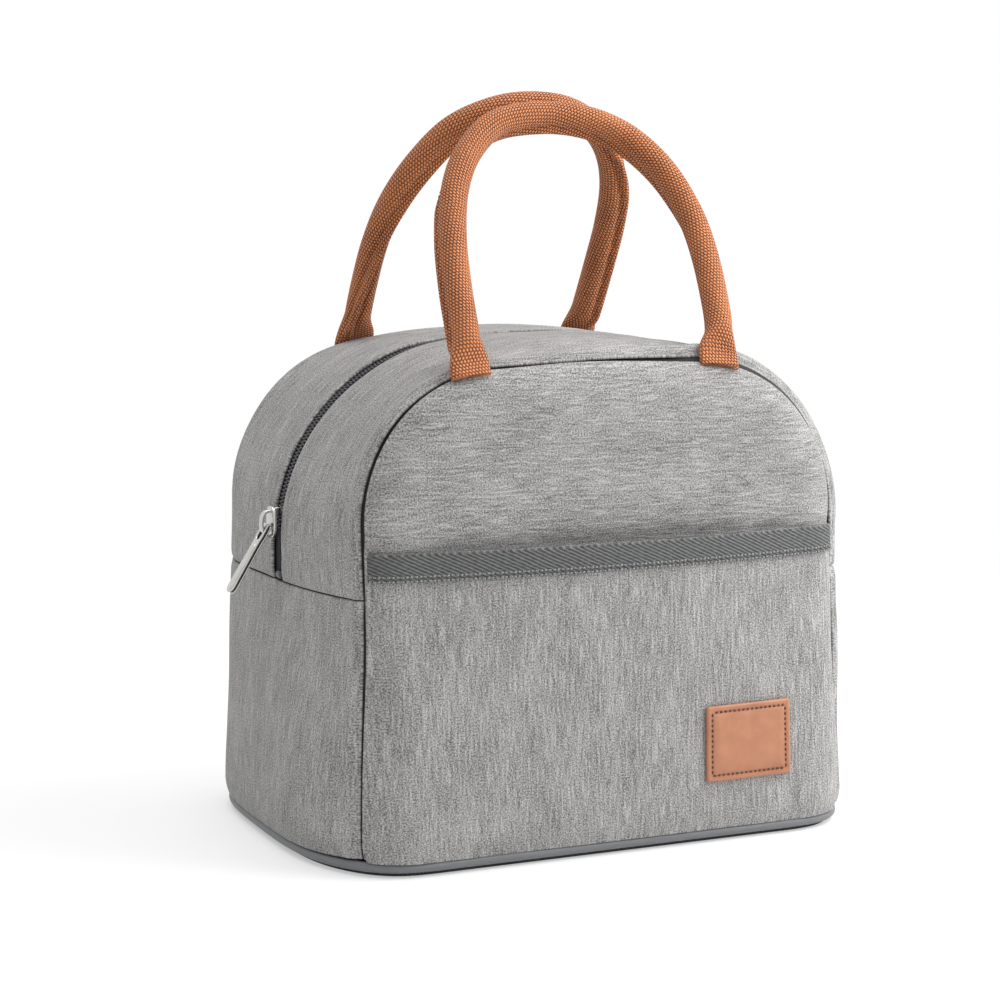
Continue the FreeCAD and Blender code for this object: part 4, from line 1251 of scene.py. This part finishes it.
def bridge_arch(rise, span, turns):
    """Points of an arch over the slider: off its top plate and along it, a little above its middle."""
    above = 0.9 * MM
    return [(rise * math.sin(turn) ** 0.6, above - span * math.cos(turn)) for turn in turns]


def slider():
    """Nickel slider: two shaped plates, a post between them and a bridge for the tab."""
    middle = (SLIDER_LOW + SLIDER_HIGH) / 2
    half_long = (SLIDER_HIGH.z - SLIDER_LOW.z) / 2
    half_wide = (SLIDER_HIGH.y - SLIDER_LOW.y) / 2
    outline, top = [], []
    for turn in np.linspace(0, 2 * math.pi, 64, endpoint=False):
        up = math.sin(turn)
        wide = math.copysign(half_wide * (0.82 + 0.18 * up) * abs(math.cos(turn)) ** 0.75, math.cos(turn))
        level = half_long * math.copysign(abs(up) ** 0.8, up)
        outline.append((wide, level))
        top.append((wide, max(level, 0.62 * level)))
    plate, bevel = 1.5 * MM, 0.45 * MM
    face = shape().half_width + 1.0 * MM
    seat = Matrix.Translation((0, 0, middle.z)) @ SLIDER_AXES
    post = oval(0.6 * MM, half_long - 4 * MM, half_long - 0.5 * MM)
    parts = [
        (slab("plate", [top], plate, bevel), seat @ pushed(face + plate / 2)),
        (slab("plate", [outline], plate, bevel), seat @ pushed(face - 4.2 * MM)),
        (slab("post", [post], 3.6 * MM, 0.1 * MM), seat @ pushed(face - 1.9 * MM)),
    ]
    turns = np.linspace(0, math.pi, 24)
    rise, span, thick = 4.3 * MM, 5.4 * MM, 1.1 * MM
    arches = bridge_arch(rise, span, turns) + bridge_arch(rise - thick, span - thick, turns[::-1])
    upright = Matrix(((-1, 0, 0), (0, 0, 1), (0, 1, 0))).to_4x4()
    bridge = slab("bridge", [arches], 2.8 * MM, 0.4 * MM)
    parts.append((bridge, Matrix.Translation((-(face + plate - 0.3 * MM), 0, middle.z)) @ upright))
    piece = join("slider", parts)
    tie(piece, nickel_plate, body="slider", nodes=("zip_slider",))


def tab_loops(inset):
    """Outline of the tab and its eye, taken in by inset; the pivot is the origin."""
    levels = ((0.9, 0.0), (0.8, 1.8), (0.1, 2.9), (-4, 3.3), (-8, 2.8), (-12, 2.85), (-26, 3.35))
    right = [(max(half * MM - inset, 0), level * MM - inset * (level > 0)) for level, half in levels]
    reach = right[-1][0]
    tip_turns = np.linspace(0, math.pi, 16)[1:-1]
    tip = [(reach * math.cos(turn), -26 * MM - (3 * MM - inset) * math.sin(turn)) for turn in tip_turns]
    left = [(-x, z) for x, z in right[:0:-1]]
    eye = oval(1.9 * MM + inset, -6.2 * MM - inset, -0.9 * MM + inset, 12)
    return [right + tip + left, eye]


def pull_tab():
    """Long nickel tab: an eye round the slider's bridge and a blade of two plates with a core between them,
    painted near-black as the shade in the groove round the blade.
    """
    lean = math.radians(32)
    pose = Matrix.Translation(TAB_PIVOT) @ Matrix.Rotation(lean, 4, "Y") @ SLIDER_AXES
    offs = (-0.65 * MM, 0.65 * MM)
    plates = [(slab("tab", tab_loops(0), 0.6 * MM, 0.22 * MM), pose @ pushed(off)) for off in offs]
    ridge = slab("ridge", [oval(2.1 * MM, -28 * MM, -8 * MM)], 0.5 * MM, 0.2 * MM)
    plates.append((ridge, pose @ pushed(0.95 * MM)))
    tie(join("tab_blade", plates), nickel_plate, body="tab", nodes=("pull_tab",))
    # Painted shade: the core's near-black finish shows as the shadowed groove between the plates.
    core = join("tab_shade_core", [(slab("core", tab_loops(0.35 * MM), 0.8 * MM, 0.05 * MM), pose)])
    tie(core, tab_groove_painted_shade, body="tab")


# Centre lines of the handles in their own planes, from left foot to right: across and up from the hinge, mm.
HANDLE_LINES = {
    "front": (
        (-54.2, -6), (-52.4, 12), (-51, 31), (-48.2, 52), (-42.5, 72.5), (-33, 89), (-18.5, 101.4),
        (1, 105.4), (20, 103.4), (36, 95.4), (48, 80.5), (54.6, 61), (56.2, 42), (54.9, 20), (53, 9),
        (50.4, 1), (49.4, -5.5),
    ),
    "rear": (
        (-49.2, -3), (-50.2, 10), (-50.6, 28), (-49.8, 48), (-46.4, 66.5), (-39, 84), (-28, 99),
        (-12, 107.6), (4, 110), (20, 107.6), (33.5, 99.6), (43, 88), (48.8, 73), (51.2, 55), (51.6, 36),
        (51.6, 16), (51.4, 4), (51, -3),
    ),
}
# Turn of the sewn flange along each handle, from the outside of its arch to the other handle, in degrees.
FLANGE_TURNS = {
    "front": (40, 42, 48, 110, 150, 130, 100, 70, 45),
    "rear": (25, 75, 115, 145, 150, 90, 45, 40, 45),
}
# Slope of the cut end of each left and right foot, down towards the outside.
FOOT_SLOPES = {"front": (0.17, 0.0), "rear": (0.17, 0.17)}
HANDLE_ROWS = 260
HANDLE_SIDES = 72
# Flat end of a foot, the run over which it rolls into the tube, and the powers of the two outlines.
FOOT_FLAT, FOOT_RUN = 4 * MM, 13 * MM
FOOT_POWER, TUBE_POWER = 3.4, 2.0
# Half the flange round the tube, the groove beside it and half that groove, in radians.
FLANGE_HALF, GROOVE_TURN, GROOVE_HALF = 0.22, 0.42, 0.13
GROOVE_DEPTH = 0.7 * MM


def through(stations, count):
    """Evenly spaced points on a smooth line through stations, with their distances along it."""
    knots = np.array(stations, float) * MM
    knots = np.concatenate(([2 * knots[0] - knots[1]], knots, [2 * knots[-1] - knots[-2]]))
    part = np.linspace(0, 1, 30, endpoint=False)[:, None]
    runs = []
    for before, first, last, after in zip(knots, knots[1:], knots[2:], knots[3:]):
        bend = 2 * before - 5 * first + 4 * last - after + part * (3 * (first - last) + after - before)
        runs.append(first + part / 2 * (last - before + part * bend))
    return spaced(np.concatenate((*runs, knots[-2:-1])), count)


def handle_reach(ways, off, outward, thick_way, rolled):
    """Distances from a handle's centre line to its outside in the ways round it, each a turn off the flange.
    Rolled is 0 at a flat foot and 1 along the tube."""
    cut = trim()
    wide = cut.foot_width + (cut.tube - cut.foot_width) * rolled
    deep = cut.foot_thick + (cut.tube - cut.foot_thick) * rolled
    power = FOOT_POWER + (TUBE_POWER - FOOT_POWER) * rolled
    flat_part, thick_part = np.abs(ways @ outward / wide), np.abs(ways @ thick_way / deep)
    reach = (flat_part ** power + thick_part ** power) ** (-1 / power)
    reach += cut.flange * rolled * np.exp(-((off / FLANGE_HALF) ** 4))
    reach -= GROOVE_DEPTH * rolled * np.exp(-(((off - GROOVE_TURN) / GROOVE_HALF) ** 2))
    return reach


def handle(name, side):
    """Rolled webbing handle: a tube with a sewn flange along it, pressed flat at its two feet."""
    cut = trim()
    hinge = np.array(JOINTS[f"{name}_handle_swing"]["pos_m"])
    up = np.array((0, -side * math.sin(cut.handle_lean), math.cos(cut.handle_lean)))
    thick_way = np.array((0, side * math.cos(cut.handle_lean), math.sin(cut.handle_lean)))
    flat, gone = through(HANDLE_LINES[name], HANDLE_ROWS)
    line = hinge + flat[:, :1] * (1, 0, 0) + flat[:, 1:] * up
    turns = np.radians(np.interp(gone, np.linspace(0, gone[-1], len(FLANGE_TURNS[name])), FLANGE_TURNS[name]))
    ahead = unit(np.gradient(line, axis=0))
    round_ = np.linspace(0, 2 * math.pi, HANDLE_SIDES, endpoint=False)
    off = np.minimum(round_, 2 * math.pi - round_)
    rings, charts, seam, facing = [], [], [], []
    for centre, forward, turn, distance in zip(line, ahead, turns, gone):
        outward = np.cross(forward, thick_way) * side
        lip_way = outward * math.cos(turn) - thick_way * math.sin(turn)
        beside = np.cross(forward, lip_way)
        ways = np.cos(round_)[:, None] * lip_way + np.sin(round_)[:, None] * beside
        from_foot = min(distance, gone[-1] - distance)
        rolled = float(smooth((from_foot - FOOT_FLAT) / FOOT_RUN))
        reach = handle_reach(ways, off, outward, thick_way, rolled)
        ring = centre + ways * reach[:, None]
        slope = FOOT_SLOPES[name][int(centre[0] > 0)] * (1 - rolled)
        drop = slope * (np.abs(ring[:, 0]) - abs(centre[0]))
        ring = ring - drop[:, None] * up
        rings.append(ring)
        girth = distances(np.concatenate((ring, ring[:1])))
        charts.append(np.column_stack((girth, np.full(HANDLE_SIDES + 1, distance))))
        if rolled > 0.95:
            seam.append(centre + lip_way * (cut.tube + cut.flange * 0.4) + beside * 1.6 * MM)
            facing.append(beside)
    form = Form()
    charts = np.array(charts)
    first = form.loops(np.array(rings), charts)
    for row in (0, HANDLE_ROWS - 1):
        form.lid(first + row * HANDLE_SIDES, HANDLE_SIDES, charts[row, :-1])
    piece = form.piece(f"{name}_handle_roll")
    piece.data.materials.append(finish_of(handle_webbing))
    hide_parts(f"{name}_handle_webbing", f"{name}_handle_core")
    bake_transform(piece)
    row = stitches(f"{name}_handle_stitches", np.array(seam), np.array(facing), 2.6 * MM, 1.9 * MM)
    tie(row, rust_thread, body=f"{name}_handle")


# Stage.
VIEW_TURN = 25.4
VIEW_LIFT = 8.15
VIEW_DISTANCE = 1.073
FOCAL_PIXELS = 2700
FRAME_PIXELS = 1000
TARGET = Vector((0, 0, 0.110))
TARGET_PIXEL = (529.3, 536.5)
# Name, place, size and power of each lamp.
LAMPS = (
    ("key", (0.45, -0.25, 0.5), 0.6, 6),
    ("fill", (-1.6, -0.9, 0.9), 1.6, 2),
    ("top", (-0.2, 0.3, 1.9), 1.6, 26),
)
LAMP_AIM = (0, 0, 0.1)
# Light of the surroundings on things, against 1 where they are seen.
SKY_LIGHT = 0.42
# Distances at which the floor begins to fade and is all white, and how far it has faded near the bag.
FADE_NEAR, FADE_FAR = 0.2, 0.75
FADE_LEAST = 0.42


def camera():
    """Camera at the photograph's view: target, turn, lift and framing."""
    turn, lift = math.radians(VIEW_TURN), math.radians(VIEW_LIFT)
    back = Vector((-math.sin(turn) * math.cos(lift), -math.cos(turn) * math.cos(lift), math.sin(lift)))
    right = Vector((math.cos(turn), -math.sin(turn), 0))
    up = back.cross(right)
    lens = bpy.data.cameras.new("camera")
    lens.sensor_width = 36
    lens.lens = FOCAL_PIXELS / FRAME_PIXELS * lens.sensor_width
    lens.shift_x = (FRAME_PIXELS / 2 - TARGET_PIXEL[0]) / FRAME_PIXELS
    lens.shift_y = (TARGET_PIXEL[1] - FRAME_PIXELS / 2) / FRAME_PIXELS
    lens.clip_start, lens.clip_end = 0.01, 50
    view = bpy.data.objects.new("camera", lens)
    axes = Matrix((right, up, back)).transposed().to_4x4()
    view.matrix_world = Matrix.Translation(TARGET + back * VIEW_DISTANCE) @ axes
    bpy.context.scene.collection.objects.link(view)
    bpy.context.scene.camera = view


def lamp(name, place, size, power):
    """Square lamp that shines on the bag."""
    light = bpy.data.lights.new(name, "AREA")
    light.size = size
    light.energy = power
    holder = bpy.data.objects.new(name, light)
    holder.location = place
    holder.rotation_mode = "QUATERNION"
    holder.rotation_quaternion = (Vector(place) - Vector(LAMP_AIM)).to_track_quat("Z", "Y")
    bpy.context.scene.collection.objects.link(holder)


def white_floor(finish, across, along):
    """White paper: it takes the bag's shadow near the bag and fades to plain white further off."""
    far = (across * across + along * along).step(FADE_NEAR ** 2, FADE_FAR ** 2)
    finish.set(Base_Color=(0.92, 0.92, 0.92, 1.0), Roughness=0.95, Specular_IOR_Level=0.05)
    glow = finish.node("ShaderNodeEmission", {}, {"Color": (1, 1, 1, 1), "Strength": 1.0})
    plain = Shade(finish, finish.shader.outputs[0])
    share = seen(finish) * (far * (1 - FADE_LEAST) + FADE_LEAST)
    shown = finish.node("ShaderNodeMixShader", {}, {0: share, 1: plain, 2: glow})
    finish.feed(finish.tree.nodes["Material Output"].inputs["Surface"], shown)


def seen(finish):
    """1 for rays from the camera, in reflections and through glass, and 0 for the light on things."""
    kinds = ("Is Camera Ray", "Is Glossy Ray", "Is Transmission Ray")
    rays = [finish.node("ShaderNodeLightPath", {}, {}, kind) for kind in kinds]
    return rays[0].math("MAXIMUM", rays[0].math("MAXIMUM", *rays[:2]), rays[2])


class Surroundings(Finish):
    """The world's own nodes, for white surroundings."""

    def __init__(self, strength):
        world = bpy.data.worlds.new("studio")
        bpy.context.scene.world = world
        world.use_nodes = True
        self.tree = world.node_tree
        self.shader = self.tree.nodes["Background"]
        self.set(Color=(1, 1, 1, 1), Strength=seen(self) * (1 - strength) + strength)


def stage():
    """White floor, soft lamps, white surroundings and the camera."""
    form = Form()
    half = 4.0
    corners = [(-half, -half), (half, -half), (half, half), (-half, half)]
    form.add([(x, y, 0.0) for x, y in corners])
    form.lid(0, 4, corners)
    floor = form.piece("floor")
    floor.data.materials.append(finish_of(white_floor))
    Surroundings(SKY_LIGHT)
    for name, place, size, power in LAMPS:
        lamp(name, place, size, power)
    bpy.context.scene.view_settings.view_transform = "Standard"
    camera()


# Operators and panel.
class DressOperator:
    """What the operators share: they run their steps in order."""

    bl_options = {"REGISTER", "UNDO"}
    steps = ()

    def execute(self, context):
        for step in self.steps:
            step()
        return {"FINISHED"}


class BAG_OT_walls(DressOperator, bpy.types.Operator):
    """Sew the front, back, sides and gussets, with strips of painted shadow at their seams"""

    bl_idname = "lunch_bag.walls"
    bl_label = "Walls"
    steps = (front_and_back, gussets, side_walls, seam_shadow_strips)


class BAG_OT_pocket(DressOperator, bpy.types.Operator):
    """Sew the slip pocket, its hem and the leather patch"""

    bl_idname = "lunch_bag.pocket"
    bl_label = "Pocket and patch"
    steps = (pocket, patch)


class BAG_OT_base(DressOperator, bpy.types.Operator):
    """Make the base panel and its piping"""

    bl_idname = "lunch_bag.base"
    bl_label = "Base"
    steps = (base,)


class BAG_OT_lining(DressOperator, bpy.types.Operator):
    """Line the inside with silver film"""

    bl_idname = "lunch_bag.lining"
    bl_label = "Lining"
    steps = (lining,)


class BAG_OT_zip(DressOperator, bpy.types.Operator):
    """Make the zip tapes, coil teeth and stops, the slider and its pull tab"""

    bl_idname = "lunch_bag.zip"
    bl_label = "Zip"
    steps = (zip_fastener, slider, pull_tab)


class BAG_OT_handles(DressOperator, bpy.types.Operator):
    """Roll and sew the two handles"""

    bl_idname = "lunch_bag.handles"
    bl_label = "Handles"

    def execute(self, context):
        for name, side in SIDES:
            handle(name, side)
        return {"FINISHED"}


class BAG_OT_stage(DressOperator, bpy.types.Operator):
    """Set up the floor, lamps, surroundings and camera"""

    bl_idname = "lunch_bag.stage"
    bl_label = "Stage"
    steps = (stage,)


OPERATORS = (
    BAG_OT_walls,
    BAG_OT_pocket,
    BAG_OT_base,
    BAG_OT_lining,
    BAG_OT_zip,
    BAG_OT_handles,
    BAG_OT_stage,
)


class BAG_PT_dressing(bpy.types.Panel):
    """Buttons and sizes of the lunch bag"""

    bl_label = "Lunch bag"
    bl_idname = "BAG_PT_dressing"
    bl_space_type = "VIEW_3D"
    bl_region_type = "UI"
    bl_category = "Lunch bag"

    def draw(self, context):
        for operator in OPERATORS:
            self.layout.operator(operator.bl_idname)
        for group in (context.scene.bag_shape, context.scene.bag_trim, context.scene.bag_colours):
            for name in group.__annotations__:
                self.layout.prop(group, name)


GROUPS = {"bag_shape": BagShape, "bag_trim": TrimShape, "bag_colours": BagColours}


def register():
    for group in (*GROUPS.values(), *OPERATORS, BAG_PT_dressing):
        bpy.utils.register_class(group)
    for name, group in GROUPS.items():
        setattr(bpy.types.Scene, name, PointerProperty(type=group))


def unregister():
    for name in GROUPS:
        delattr(bpy.types.Scene, name)
    for group in (BAG_PT_dressing, *reversed(OPERATORS), *reversed(GROUPS.values())):
        bpy.utils.unregister_class(group)


def main():
    register()
    bpy.ops.lunch_bag.walls()
    bpy.ops.lunch_bag.pocket()
    bpy.ops.lunch_bag.base()
    bpy.ops.lunch_bag.lining()
    bpy.ops.lunch_bag.zip()
    bpy.ops.lunch_bag.handles()
    bpy.ops.lunch_bag.stage()


if __name__ == "__main__":
    main()
